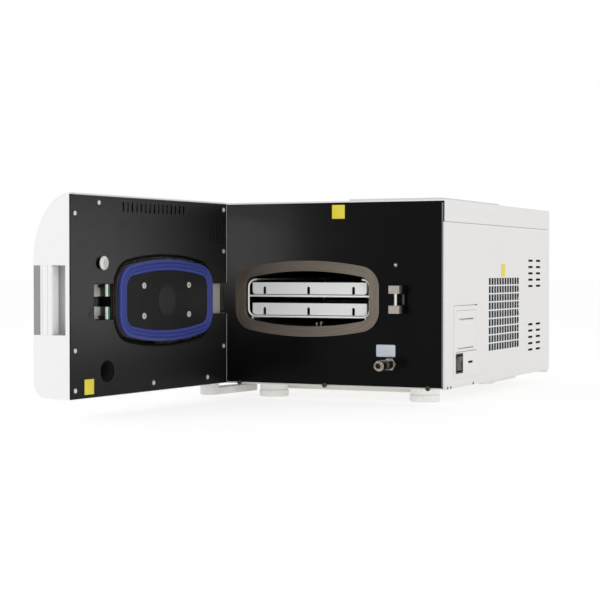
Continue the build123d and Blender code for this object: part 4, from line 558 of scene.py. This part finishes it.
# Paints for the record's slots
DOOR_TURN = -DOOR_ANGLE
paints = {
    "white_coat": enamel("white_powder_coat", "E8E6E4", 0.42, specular=0.3),
    "warm_white": enamel("door_lacquer", "F0F0F0", 0.36, 500.0, 0.05, 0.25),
    "pan_coat": enamel("chassis_coat", "F0EEE7", 0.48),
    "gloss_black": enamel("front_lacquer", "070707", 0.22, 600.0, 0.02, 0.07),
    "satin_black": enamel("door_panel_lacquer", "090909", 0.31, 600.0, 0.02, 0.08),
    "flange_metal": ring_brushed("ground_flange", "847C72"),
    "chamber_steel": brushed("rolled_steel", "A8A69E", 0.38, (30, 1, 1), DOOR_TURN),
    "tray_steel": brushed("satin_tray", "F4F6F4", 0.46, (25, 1, 1), contrast=0.05, Metallic=0.2),
    "bright_wire": plated("drawn_wire", "DEDEDA", 0.14),
    "keeper_steel": cast("blasted_keeper", "B5ADA6", 0.5),
    "nickel": plated("coupling_nickel", "A89F96", 0.2),
    "seal_blue": moulded("silicone_seal", "303C88", 0.45, 800.0, 0.2, 0.08),
    "lid_black": moulded("black_cover", "181818", 0.5, 900.0, 0.15, Specular_IOR_Level=0.22),
    "screw_steel": plated("bright_screw", "C6C6C2", 0.2),
    "dark_screw": plated("oiled_screw", "5A5550", 0.32),
    "insulation": cast("felt_lagging", "CFC9B8", 0.9, 0.0, 300.0, 0.9),
    "zinc_sheet": spangled("zinc_sheet", "B4B8B8"),
    "tank_plastic": moulded("clouded_tank", "E4E9E8", 0.35, Transmission_Weight=0.35),
    "fin_aluminium": finned("condenser_fins", "4A6674"),
    "fan_black": moulded("fan_nylon", "232324", 0.5),
    "boiler_steel": brushed("boiler_plate", "A9A49C", 0.34, (1, 1, 30)),
    "pump_grey": cast("pump_enamel", "7C8286", 0.5, 0.1),
    "brass_fitting": plated("valve_brass", "BA9444", 0.22),
    "pipe_copper": plated("pipe_copper", "B4704A", 0.24),
    "board_green": board("circuit_board", "2E6E4E"),
    "housing_plastic": moulded("housing_plastic", "EAE6E4", 0.42, Specular_IOR_Level=0.3),
    "switch_black": moulded("switch_black", "202020", 0.4, Specular_IOR_Level=0.35),
    "paper_white": cast("paper", "F1F0EA", 0.85, 0.0, 900.0, 0.1, 0.03),
    "display_black": moulded("display_glass", "0C1012", 0.08, 300.0, 0.01),
    "key_grey": moulded("key_plastic", "9B9B9B", 0.5),
}

# Paints for nodes and pieces that differ from their slot's own. Painted shade: the keeper darkens
# towards the panel, the trays darken inside behind their lips, the beam and rocker at one end
keeper = cast("blasted_keeper_painted_shade", "B5ADA6", 0.5)
keeper.over(keeper.spread(keeper.along("Y"), -0.111, -0.09), "1C1A18")
tray = brushed("tray_inside_painted_shade", "F4F6F4", 0.46, (25, 1, 1), contrast=0.05, Metallic=0.2)
# Painted shade inside the tray, behind its lip
tray.over(tray.spread(tray.along("Y"), -0.0736, -0.072), "8E908E")
beam = brushed("beam_steel_painted_shade", "C6C5BC", 0.38, (30, 1, 1), DOOR_TURN, Metallic=0.6)
along_door = beam.along("X", DOOR_CORNER * MM, DOOR_TURN)
# Painted shade at the beam's far end along the door
beam.over(beam.spread(along_door, 0.25, 0.3), "26241F")
rocker = moulded("rocker_painted_shade", "40403B", 0.4, Specular_IOR_Level=0.3)
# Painted shade over the rocker's front end
rocker.over(rocker.spread(rocker.along("Y"), -0.018, -0.0145, 1.0, 0.0), "141418")
rack = brushed("rack_wire", "FFFFFF", 0.3, (1, 12, 1), contrast=0.03, Metallic=0.3)
head_steel = brushed("bright_head", "E0E0DC", 0.36, (1, 1, 1), grain=300.0, Metallic=0.5)
stud_face = brushed("stud_face", "DEDEDA", 0.3, (1, 1, 1), grain=200.0, contrast=0.25, Metallic=0.65)
dark_flank = plated("shaded_steel", "55524E", 0.2)
shaded_board = moulded("shaded_board", "323C36", 0.5)
window_zinc = moulded("window_zinc", "C2C3BA", 0.4)
feet_white = moulded("foot_rubber", "FAFAF8", 0.5, Specular_IOR_Level=0.25)
# Painted shade for narrow gaps: darker further back along Y, with a little noise
gap_shade = Paint("gap_shade", Roughness=0.8)
deepening = gap_shade.spread(gap_shade.along("Y") + gap_shade.noise(60.0) * 0.01, -0.04, 0.075)
gap_shade.set(Base_Color=gap_shade.blend(deepening, colour("A9A5A2"), colour("5A5755")))
# Near black for dark pieces set where there is only shade: painted shade
painted_shade_black = moulded("painted_shade_black", "060606", 0.8, Specular_IOR_Level=0.1)
# Grey for a painted highlight on the front panel's folded edge
edge_highlight_grey = moulded("edge_highlight_grey", "74746F", 0.4)
hook_black = moulded("hook_black", "161514", 0.4)
# Dark steel inside the chamber as painted shade, over its brushed grain
vessel = brushed("vessel_inside_painted_shade", "3C3834", 0.45, (1, 30, 1), contrast=0.2, Metallic=0.9)
rim = brushed("lid_rim", "5E554C", 0.4, (1, 1, 1), grain=300.0)
yellow = moulded("yellow_film", "E6D63A", 0.45, 700.0, 0.04, 0.02)
pale_film = moulded("pale_film", "CCD2DC", 0.4, 700.0, 0.04, 0.02)
bore_brass = plated("worn_bore", "6E5840", 0.4)
disc_black = moulded("disc_black", "242424", 0.5, 900.0, 0.15, Specular_IOR_Level=0.3)
own_paints = {
    "chamber_vessel": vessel,
    "tray_upper": tray,
    "tray_lower": tray,
    "door_keeper": keeper,
    "wire_rack": rack,
    "lock_hook": hook_black,
    "door_beam": beam,
    "power_rocker": rocker,
}

for entry in frame["record"]["subparts"]:
    node = entry["node"]
    paint = own_paints.get(node, paints[entry["material_slot"]])
    nodes[node].data.materials.clear()
    nodes[node].data.materials.append(paint.material)

# Blank labels: three square yellow ones, and a small pale plate
LABEL_THICK, PLATE_THICK = 0.25, 0.4
label = rounded(12.3, 12.3, 0.8)
for name, place, body, middle in (
    ("label_front", front, "cabinet", (31.0, 336.5)),
    ("label_side", right_side, "cabinet", (327.8, 232.4)),
    ("label_door", door_inner, "door", (410.1, 17.6)),
):
    piece(name, [plate(place, middle, label, 0, LABEL_THICK, 0.15)], yellow, body)
info = rounded(18.0, 10.6, 2.5)
piece("label_plate", [plate(front, (122.0, 91.0), info, 0, PLATE_THICK, 0.2)],
      pale_film, "cabinet")

# Screws along the door panel's four edges, and along the chassis below the panels
SCREW_INSET = 11.5
door_spots = [(SCREW_INSET, up) for up in (67, 239, 314)]
door_spots += [(DOOR_LENGTH - SCREW_INSET, up) for up in (13.5, 77, 295)]
door_spots += [(65, 13.5), (232, 13.5), (384, 314)]
piece("door_screw_heads", crossed_screws(door_inner, door_spots, 3.7, 0.0, 1.5),
      head_steel, "door", ["door_screws"])
chassis = crossed_screws(front, [(across, 26.8) for across in (-166, 4.3, 201)], 4.4, 0.0, 2.8)
chassis += crossed_screws(right_side, [(deep, 27.8) for deep in (13.7, 30.2, 150.8)], 2.2, 0.0, 1.2)
piece("chassis_screw_heads", chassis, paints["dark_screw"], "cabinet",
      ["chassis_screws"])

dimple = [(3.8, 0.0), (3.8, 0.25), (5.6, 0.1), (5.8, 0.0)]
piece("screw_dimples", [turned(door_inner, spot, dimple, 28, closed=True) for spot in door_spots],
      paints["fan_black"], "door")

# Lid: a plate with three turned lines round its flank, a little wider towards the free edge
LID_S, LID_H = door_inner.middle("lid_seal")
LID_HALF, LID_CORNER, LID_ARCH = (138.5, 69.2), 38.0, 598.0
RIM_BACK, RIM_FACE, RIM_LINE = -11.0, 3.0, 0.5
rim_profile = [(0, RIM_BACK, 0), (0, RIM_BACK, 1)]
for line in (-8.0, -4.2, -0.7):
    steps = ((0, 0.0), (-RIM_LINE, 0.2), (-RIM_LINE, 0.7), (0, 0.9))
    rim_profile += [(grow, line + out, 1) for grow, out in steps]
rim_profile += [(0, RIM_FACE - 0.4, 1), (-0.4, RIM_FACE, 1), (-0.4, RIM_FACE, 0)]
rim_outline = rounded(140.5, 69.8, 38.5, LID_ARCH, steps=14)
piece("lid_rim", [carried(door_inner, (LID_S + 1.5, LID_H), rim_outline, rim_profile)],
      rim, "door", ["lid_plate"])

# Collar: two arcs that narrow the panel's gap above and below the lid, along all that lies higher
# or lower than ARC_START from the lid's middle
ARC_START = 30.0
lid_outline = rounded(*LID_HALF, LID_CORNER, LID_ARCH, steps=14)
collar = [(5.6, -2.0), (5.6, -0.3), (5.9, 0.02), (9.8, 0.02), (9.8, -2.0)]
arcs = []
for side in (-1, 1):
    points, normals = (part[lid_outline[0][:, 1] * side > ARC_START] for part in lid_outline)
    order = np.argsort(points[:, 0])
    arcs.append(swept(door_inner, points[order] + np.array([LID_S, LID_H]), normals[order], collar))
piece("lid_collar", arcs, paints["satin_black"], "door")

# Seal: a ring with soft shoulders and two grooves along its face
seal_profile = [(0, 3.0, 1), (0, 7.4, 1), (-0.7, 8.5, 1), (-2.2, 9.0, 1), (-4.8, 9.0, 1), (-5.5, 7.6, 1),
                (-6.6, 7.6, 1), (-7.3, 8.9, 1), (-11.0, 8.9, 1), (-11.7, 7.6, 1), (-12.8, 7.6, 1),
                (-13.5, 8.8, 1), (-16.4, 8.6, 1), (-17.7, 8.0, 1), (-18.2, 6.8, 1), (-18.2, 3.0, 1)]
piece("seal_ring", [carried(door_inner, (LID_S, LID_H), lid_outline, seal_profile, True)],
      paints["seal_blue"], "door", ["lid_seal"])

# Lid cover: a softened plate, its round centre in a groove, and four socket screws, which stand
# a little nearer to the free edge than the plate's own middle
COVER_INSET = 18.5
DISC_SHIFT = 6.0
cover_half = [half - COVER_INSET for half in LID_HALF]
cover_outline = rounded(*cover_half, LID_CORNER - COVER_INSET, LID_ARCH - COVER_INSET, steps=10)
disc_spot = (LID_S + DISC_SHIFT, LID_H)
disc = [(0, 3.2), (28.0, 3.2), (28.0, 8.7), (27.3, 9.0), (26.7, 8.5), (26.3, 6.2), (25.1, 6.2),
        (24.7, 8.6), (23.8, 9.0), (0, 9.0)]
cover = [plate(door_inner, (LID_S, LID_H), cover_outline, RIM_FACE, 8.0, 0.8)]
piece("lid_cover_plate", cover, paints["lid_black"], "door", ["lid_cover"])
piece("lid_disc", [turned(door_inner, disc_spot, disc, 64)], disc_black, "door")
lid_spots = [(disc_spot[0] + across, LID_H + up) for across in (-67, 67) for up in (-25.5, 25.5)]
piece("lid_screws", socket_screws(door_inner, lid_spots, 5.2, 7.5, 9.5),
      head_steel, "door")

# Stud: a turned neck and flank in dark steel as painted shade, with a domed face let into its rim
STUD = door_inner.middle("door_stud")
neck = [(0, 0), (9.5, 0), (9.5, 5.4), (10.9, 5.6), (11.5, 6.4), (11.5, 8.6), (11.2, 9.0), (0, 9.0)]
piece("stud_knob", [turned(door_inner, STUD, neck, 56)], dark_flank, "door",
      ["door_stud"])
dome = [(0, 8.9), (11.2, 8.9), (11.5, 9.3), (11.2, 10.1), (10.4, 10.5), (9.5, 10.1), (8.6, 10.8),
        (6.3, 11.3), (5.6, 10.8), (4.9, 11.4), (2.4, 11.5), (1.4, 10.9), (0, 10.9)]
piece("stud_dome", [turned(door_inner, STUD, dome, 56)], stud_face, "door")

# Handle on the free edge: grip with two grooves, ribbed strip, and a scooped liner beside the grip
handle_low, handle_high = door_inner.span("handle_grip")
RECESS = (handle_low[1], handle_high[1])
GRIP_BACK, GRIP_EDGE, GRIP_ROUND = 441.0, 37.0, 3.6
groove = DOOR_LENGTH - 1.0
bend = np.linspace(0, math.pi / 2, 7)
nose = np.column_stack([GRIP_EDGE + GRIP_ROUND * (1 - np.sin(bend)),
                        DOOR_LENGTH - GRIP_ROUND * (1 - np.cos(bend))])
grip = [(60.7, GRIP_BACK), (60.7, DOOR_LENGTH - 0.4), (60.3, DOOR_LENGTH), (57.2, DOOR_LENGTH),
        (57.0, groove), (56.4, groove), (56.2, DOOR_LENGTH), (46.6, DOOR_LENGTH), (46.3, groove),
        (45.3, groove), (45.0, DOOR_LENGTH), *nose.tolist(), (GRIP_EDGE, GRIP_BACK)]
piece("handle_grip_bar", [bar(door_section, grip, *RECESS)], paints["warm_white"], "door",
      ["handle_grip"])
STRIP, STRIP_BACK, STRIP_FACE = (61.0, 73.7), 446.5, 457.0
RIB_PITCH, RIB_DEPTH = 1.41, 0.45
ribs = np.linspace(*STRIP, 64)
face = STRIP_FACE + RIB_DEPTH * np.abs(np.sin((ribs - STRIP[0]) * math.pi / RIB_PITCH))
strip = [(STRIP[0], STRIP_BACK), *np.column_stack([ribs, face]).tolist(), (STRIP[1], STRIP_BACK)]
piece("handle_ribs", [bar(door_section, strip, *RECESS)], paints["key_grey"], "door",
      ["handle_strip"])
SCOOP_MIDDLE, SCOOP_RADIUS, SCOOP_STEPS = (36.8, 455.4), 26.4, 33
LINER_CORNER = (10.05, 428.05)  # both ends are capped from a point just inside this corner
scoop = np.linspace(0, math.pi / 2, SCOOP_STEPS)
reach = SCOOP_RADIUS - 0.25 * np.abs(np.sin(np.arange(SCOOP_STEPS) * math.pi / 4))
liner = np.array(SCOOP_MIDDLE) - reach[:, None] * np.column_stack([np.sin(scoop), np.cos(scoop)])
liner = [LINER_CORNER, *liner[::-1].tolist(), (SCOOP_MIDDLE[0], LINER_CORNER[1])]
piece("recess_liner", [bar(door_section, liner, *RECESS, middle=np.array(LINER_CORNER) + 0.05)],
      paints["housing_plastic"], "door")

# Painted shade in the gaps at the recess's lower and upper end
scooped = (SCOOP_MIDDLE[0] - SCOOP_RADIUS, SCOOP_MIDDLE[0])
gaps = [block(door_free_edge, scooped, up, (-26.0, -1.0), 0.2, 0.2) for up in
        ((RECESS[0] + 0.2, RECESS[0] + 0.9), (RECESS[1] - 0.9, RECESS[1] - 0.2))]
piece("recess_gap_shade", gaps, gap_shade, "door")

# Lock window, above and below the hook: steel bracket, a backing painted dark as a board in shade, board edge and
# its white guide
for name, across, out, paint, slot in (
    ("lock_bracket", (358.0, 396.4), (-19.0, -17.0), window_zinc, "chamber_steel"),
    ("lock_backing", (343.0, 357.8), (-19.5, -18.0), shaded_board, "board_green"),
    ("lock_guides", (358.7, 362.4), (-3.8, -0.8), paints["housing_plastic"], "housing_plastic"),
    ("lock_boards", (352.0, 358.6), (-3.8, -1.6), paints["board_green"], "board_green"),
):
    halves = [block(door_inner, across, up, out, 0.3, 0.2) for up in ((124.6, 145.0), (162.0, 182.0))]
    piece(name, halves, paint, "door")

# Dark sleeve behind the round hole that the coupling enters: painted shade in its depth
COUPLING_HOLE = (362.0, 40.0)
tube = [(19.6, -2.2), (18.2, -2.2), (18.2, -70.0), (0, -70.0), (0, -71.5), (19.6, -71.5)]
piece("hole_shade_sleeve", [turned(door_inner, COUPLING_HOLE, tube, 48)],
      paints["fan_black"], "door")

# Painted highlights along the folded edges: bright on the door panel and grey on the front panel
edges = [block(door_inner, (0.7, 1.5), up, (0, 0.3), 0.2, 0.15) for up in ((2, 125.5), (182.5, 323))]
piece("door_edge_highlights", edges, head_steel, "door")
piece("front_edge_highlight", [block(front, (226.0, 228.8), (30, 350), (0, 0.3), 0.3, 0.2)],
      edge_highlight_grey, "cabinet")

# Small screw in its washer above the keeper, and the plate beside the keeper's pin
DOT = (140.4, 241.7)
dot = [(0, 1.5), (1.3, 1.4), (2.2, 1.0), (2.6, 0.3), (2.6, 0), (0, 0)]
piece("dot_screw", [turned(front, DOT, dot, 24)], paints["screw_steel"], "cabinet")
washer = [(2.8, 0.0), (2.8, 0.4), (4.2, 0.3), (4.2, 0.0)]
piece("dot_washer", [turned(front, DOT, washer, 28, closed=True)],
      paints["dark_screw"], "cabinet")
latch = [block(front, (155.6, 160.0), (172.0, 191.0), (4.0, 9.0), 0.5, 0.4)]
piece("keeper_latch", latch, paints["dark_screw"], "cabinet")

# Coupling: knurled sleeve, bright nose ring, and the poppet in its bore
COUPLING = front.middle("coupling_body")
KNURL, KNURL_RADIUS, KNURL_RIDGES, KNURL_DEPTH = (43.5, 58.5), 9.3, 30, 0.22


def knurl(radius, out, angle):
    """Ridges along the sleeve: the radius steps up and down by turns, and not at all past both ends."""
    ridge = np.clip(out - KNURL[0], 0, 1) * np.clip(KNURL[1] - out, 0, 1) * (radius > 8)
    return radius + KNURL_DEPTH * ridge * np.sign(np.sin(KNURL_RIDGES * angle)), out


sleeve = [(6.75, 38.2), (8.6, 38.2), (8.6, 40.6), (8.0, 41.0), (8.0, 42.0), (9.2, 42.6)]
sleeve += [(KNURL_RADIUS, out) for out in (KNURL[0], KNURL[0] + 1, KNURL[1] - 1, KNURL[1])]
sleeve += [(9.2, 60.2), (8.4, 61.6), (7.4, 62.0), (6.75, 62.0)]
piece("coupling_grip", [turned(front, COUPLING, sleeve, 120, knurl, True)],
      paints["nickel"], "sleeve", ["coupling_sleeve"])
nose = [(4.4, 63.9), (5.6, 64.3), (6.0, 65.4), (6.6, 65.6), (7.4, 65.3), (7.7, 64.4), (7.7, 63.9)]
piece("coupling_nose", [turned(front, COUPLING, nose, 48, closed=True)],
      paints["nickel"], "cabinet")
throat = [(4.1, 63.4), (4.1, 64.05), (5.0, 64.2), (5.0, 63.4)]
poppet = [(0, 52.0), (3.9, 52.0), (3.9, 57.0), (2.6, 58.4), (1.3, 59.0), (1.2, 62.6),
          (0.7, 63.2), (0, 63.3)]
bore = [turned(front, COUPLING, throat, 40, closed=True), turned(front, COUPLING, poppet, 32)]
piece("coupling_poppet", bore, bore_brass, "cabinet")

# Printer: strips of painted shade in the grooves and gaps of its housing, and painted shade in the mouth of the
# card slot and in a notch at the housing's top
HOUSING_OUT = 1.0
gap_shade_strips = [block(right_side, across, up, (-1.0, out), 0.12, 0.08) for across, up, out in (
    ((46.5, 160.0), (169.55, 170.25), 0.3), ((71.9, 148.5), (145.0, 146.5), 0.75),
    ((68.0, 152.0), (93.3, 94.7), 0.75), ((56.0, 160.0), (160.85, 161.25), 0.8),
    ((56.0, 164.4), (87.55, 87.95), 0.7))]
piece("housing_gap_shade", gap_shade_strips, gap_shade, "cabinet")
mouths = [block(right_side, (121.1, 146.5), (65.7, 69.5), (-3.0, HOUSING_OUT - 0.5), 0.4, 0.3),
          block(right_side, (160.0, 170.5), (168.6, 170.3), (-1.0, HOUSING_OUT + 0.05), 0.4, 0.1)]
piece("shaded_mouths", mouths, painted_shade_black, "cabinet")

# Behind the right side's openings: dark plates of painted shade at the vents, and a dark plate of painted shade at
# the condenser's end
shade_plates = [block(right_side, (488.0, 584.0), up, (-2.8, -1.7), 2.0, 0.3)
           for up in ((66.0, 130.0), (194.0, 258.0))]
shade_plates.append(block(bench, (197.0, 229.6), (431.6, 432.8), (76.0, 224.0), 0.4, 0.3))
piece("vent_shade_plates", shade_plates, painted_shade_black, "cabinet")

# Base: a rim under the panels and a deeper tray inside it, on feet whose necks reach the rim
pan_low, pan_high = bench.span("base_pan")
pan_middle, pan_half = (pan_low + pan_high)[:2] / 2, (pan_high - pan_low)[:2] / 2
RIM_LEVEL, TRAY_LEVEL, TRAY_HALF = 25.2, 12.1, 166.0
FRONT_FEET, REAR_FEET, FOOT_RADIUS, FEET_CLEAR = 52.0, 533.0, 27.0, 32.0
tray_middle = np.array([0.0, (FRONT_FEET + REAR_FEET) / 2])
tray_half = np.array([TRAY_HALF, (REAR_FEET - FRONT_FEET) / 2 - FEET_CLEAR])
steps = ((2.0, 26.8), (2.0, pan_high[2]), (0.0, pan_high[2]), (0.0, RIM_LEVEL + 0.5), (0.5, RIM_LEVEL))
dips = ((4.0, 21.0), (4.0, 26.8))
drops = ((0.0, RIM_LEVEL), (-1.0, RIM_LEVEL - 1.0), (-2.0, TRAY_LEVEL + 1.0), (-3.0, TRAY_LEVEL))
pan = [(tray_middle, tray_half - inset, 3.0, up) for inset, up in dips]
pan += [(pan_middle, pan_half - inset, 3.0, up) for inset, up in steps]
pan += [(tray_middle, tray_half + inset, 3.0, up) for inset, up in drops]
# Shallow dishes under the units that stand on the floor outside the tray
dishes = [block(bench, across, deep, (20.2, 27.0), 3.0, 0.5) for across, deep in (
    ((188.0, 226.0), (238.0, 434.0)), ((-210.0, -120.0), (515.0, 605.0)),
    ((-72.0, 178.0), (497.0, 593.0)), ((-124.0, 60.0), (57.0, 90.0)))]
piece("pan_skin", [stacked(bench, pan), *dishes], paints["pan_coat"], "cabinet",
      ["base_pan"])
foot = [(0, 0), (24.6, 0), (26.3, 0.6), (FOOT_RADIUS, 2.2), (FOOT_RADIUS, 11.4), (26.4, 12.3),
        (25.2, 12.6), (25.0, 13.6), (25.7, 13.8), (26.0, 14.6), (26.0, RIM_LEVEL + 0.2),
        (0, RIM_LEVEL + 0.2)]
foot_spots = ((-121, FRONT_FEET), (176, FRONT_FEET), (-121, REAR_FEET), (121, REAR_FEET))
piece("feet_turned", [turned(bench, spot, foot, 56) for spot in foot_spots],
      feet_white, "cabinet", ["feet"])

# Door's outer face: rings round the keys, a bezel round the display, three small lamps
ring = [(11.2, 0), (11.2, 0.7), (11.9, 1.0), (13.2, 0.7), (13.4, 0)]
rings = [turned(door_outer, door_outer.middle(key), ring, 48, closed=True)
         for key in ("start_key", "stop_key")]
piece("key_rings", rings, paints["screw_steel"], "door")
display = door_outer.middle("display_window")
bezel_outline = rounded(77.5, 37.5, 4.0, steps=6)
bezel = [(0, 0, 1), (0, 0.5, 1), (-0.5, 0.9, 1), (-2.2, 0.9, 1), (-2.5, 0.6, 1), (-2.5, 0, 1)]
piece("display_bezel", [carried(door_outer, display, bezel_outline, bezel, True)],
      paints["key_grey"], "door")
lamp_profile = [(0, 1.1), (0.9, 0.95), (1.6, 0.5), (1.9, 0), (0, 0)]
lamps = [turned(door_outer, (display[0] + across, 93.0), lamp_profile, 20) for across in (-12, 0, 12)]
piece("status_lamps", lamps, paints["tank_plastic"], "door")

# Screws of the rear panel and of the left side
rear_spots = [(across, up) for across in (-214, 214) for up in (46, 180, 305)] + [(0, 46), (0, 305)]
others = crossed_screws(rear, rear_spots, 4.4, 0.0, 2.0)
others += crossed_screws(left_side, [(across, 27.9) for across in (-13.7, -320, -628)], 2.4, 0.0, 1.2)
piece("cover_screws", others, paints["screw_steel"], "cabinet")

# Floor, light and camera
def light(name, spot, aim, size, power):
    """A square soft lamp that faces its aim."""
    lamp = bpy.data.lights.new(name, "AREA")
    lamp.size, lamp.energy = size, power
    made = bpy.data.objects.new(name, lamp)
    made.location = spot
    made.rotation_euler = (Vector(aim) - Vector(spot)).to_track_quat("-Z", "Y").to_euler()
    bpy.context.scene.collection.objects.link(made)
    return made


FLOOR_REACH = 30.0
FLOOR_GLOW, FLOOR_BOUNCE = 0.76, 0.35
SKY_LIGHT = 0.78
floor_mesh = bpy.data.meshes.new("floor")
turns = ((-1, -1), (1, -1), (1, 1), (-1, 1))
corners = [(across * FLOOR_REACH, deep * FLOOR_REACH, 0) for across, deep in turns]
floor_mesh.from_pydata(corners, [], [(0, 1, 2, 3)])
floor = bpy.data.objects.new("floor", floor_mesh)
bpy.context.scene.collection.objects.link(floor)
floor_paint = Paint("pale_floor", edge=0.0, Roughness=0.9, Specular_IOR_Level=0.0)
floor_mesh.materials.append(floor_paint.material)
seen = floor_paint.backdrop()
floor_paint.set(
    Base_Color=floor_paint.blend(seen, colour("FBFBFB"), colour("FBFBFB", 0.3)),
    Emission_Color=floor_paint.blend(seen, colour("FFFFFF", FLOOR_BOUNCE), colour("FFFFFF")),
    Emission_Strength=FLOOR_GLOW,
)

world = bpy.data.worlds.new("studio")
bpy.context.scene.world = world
world.use_nodes = True
sky = Mixer(world.node_tree)
background = world.node_tree.nodes["Background"]
sky.join(background.inputs["Color"], colour("FFFFFF"))
sky.join(background.inputs["Strength"], sky.backdrop() * (1 - SKY_LIGHT) + SKY_LIGHT)

# Two broad lamps aimed at the machine's middle, and the place of the photograph's camera
AIM = (0, 0, 0.15)
light("key_lamp", (2.2, -2.4, 2.6), AIM, size=1.6, power=12)
light("fill_lamp", (-2.4, -2.2, 2.0), AIM, size=1.6, power=10)
EYE = np.array([1.19758, -2.68233, 0.23389])
EYE_DIP, EYE_TURN = math.radians(1.096), math.radians(24.937)


def sheen(name, node, spot, facing, reach, size, power):
    """A soft streak of gloss on one panel: the lamp stands where the panel's spot mirrors the eye,
    that is, the line to the eye turned over about the way that the panel faces."""
    sight = (EYE - spot) / np.linalg.norm(EYE - spot)
    mirrored = 2 * (sight @ facing) * facing - sight
    lamp = light(name, spot + reach * mirrored, spot, size, power)
    lamp.visible_diffuse = lamp.visible_camera = False
    lamp.data.use_shadow = lamp.data.cycles.use_multiple_importance_sampling = False
    group = bpy.data.collections.new(name)
    group.objects.link(nodes[node])
    lamp.light_linking.receiver_collection = group


sheen("front_sheen", "front_panel", front.at((-150.0, 275.0, 0.0)), -BACK,
      reach=1.1, size=0.2, power=1.8)
sheen("door_sheen", "door_panel", door_inner.at((455.0, 200.0, 0.0)), -DOOR_T,
      reach=1.2, size=0.36, power=2.5)

# The lens is the one that the photograph's own edges give, on a full-frame width
view = bpy.data.cameras.new("camera")
view.lens, view.sensor_width = 95.49, 36.0
camera = bpy.data.objects.new("camera", view)
camera.location = EYE
camera.rotation_euler = (math.pi / 2 - EYE_DIP, 0, EYE_TURN)
bpy.context.scene.collection.objects.link(camera)
bpy.context.scene.camera = camera
bpy.context.scene.view_settings.view_transform = "Standard"
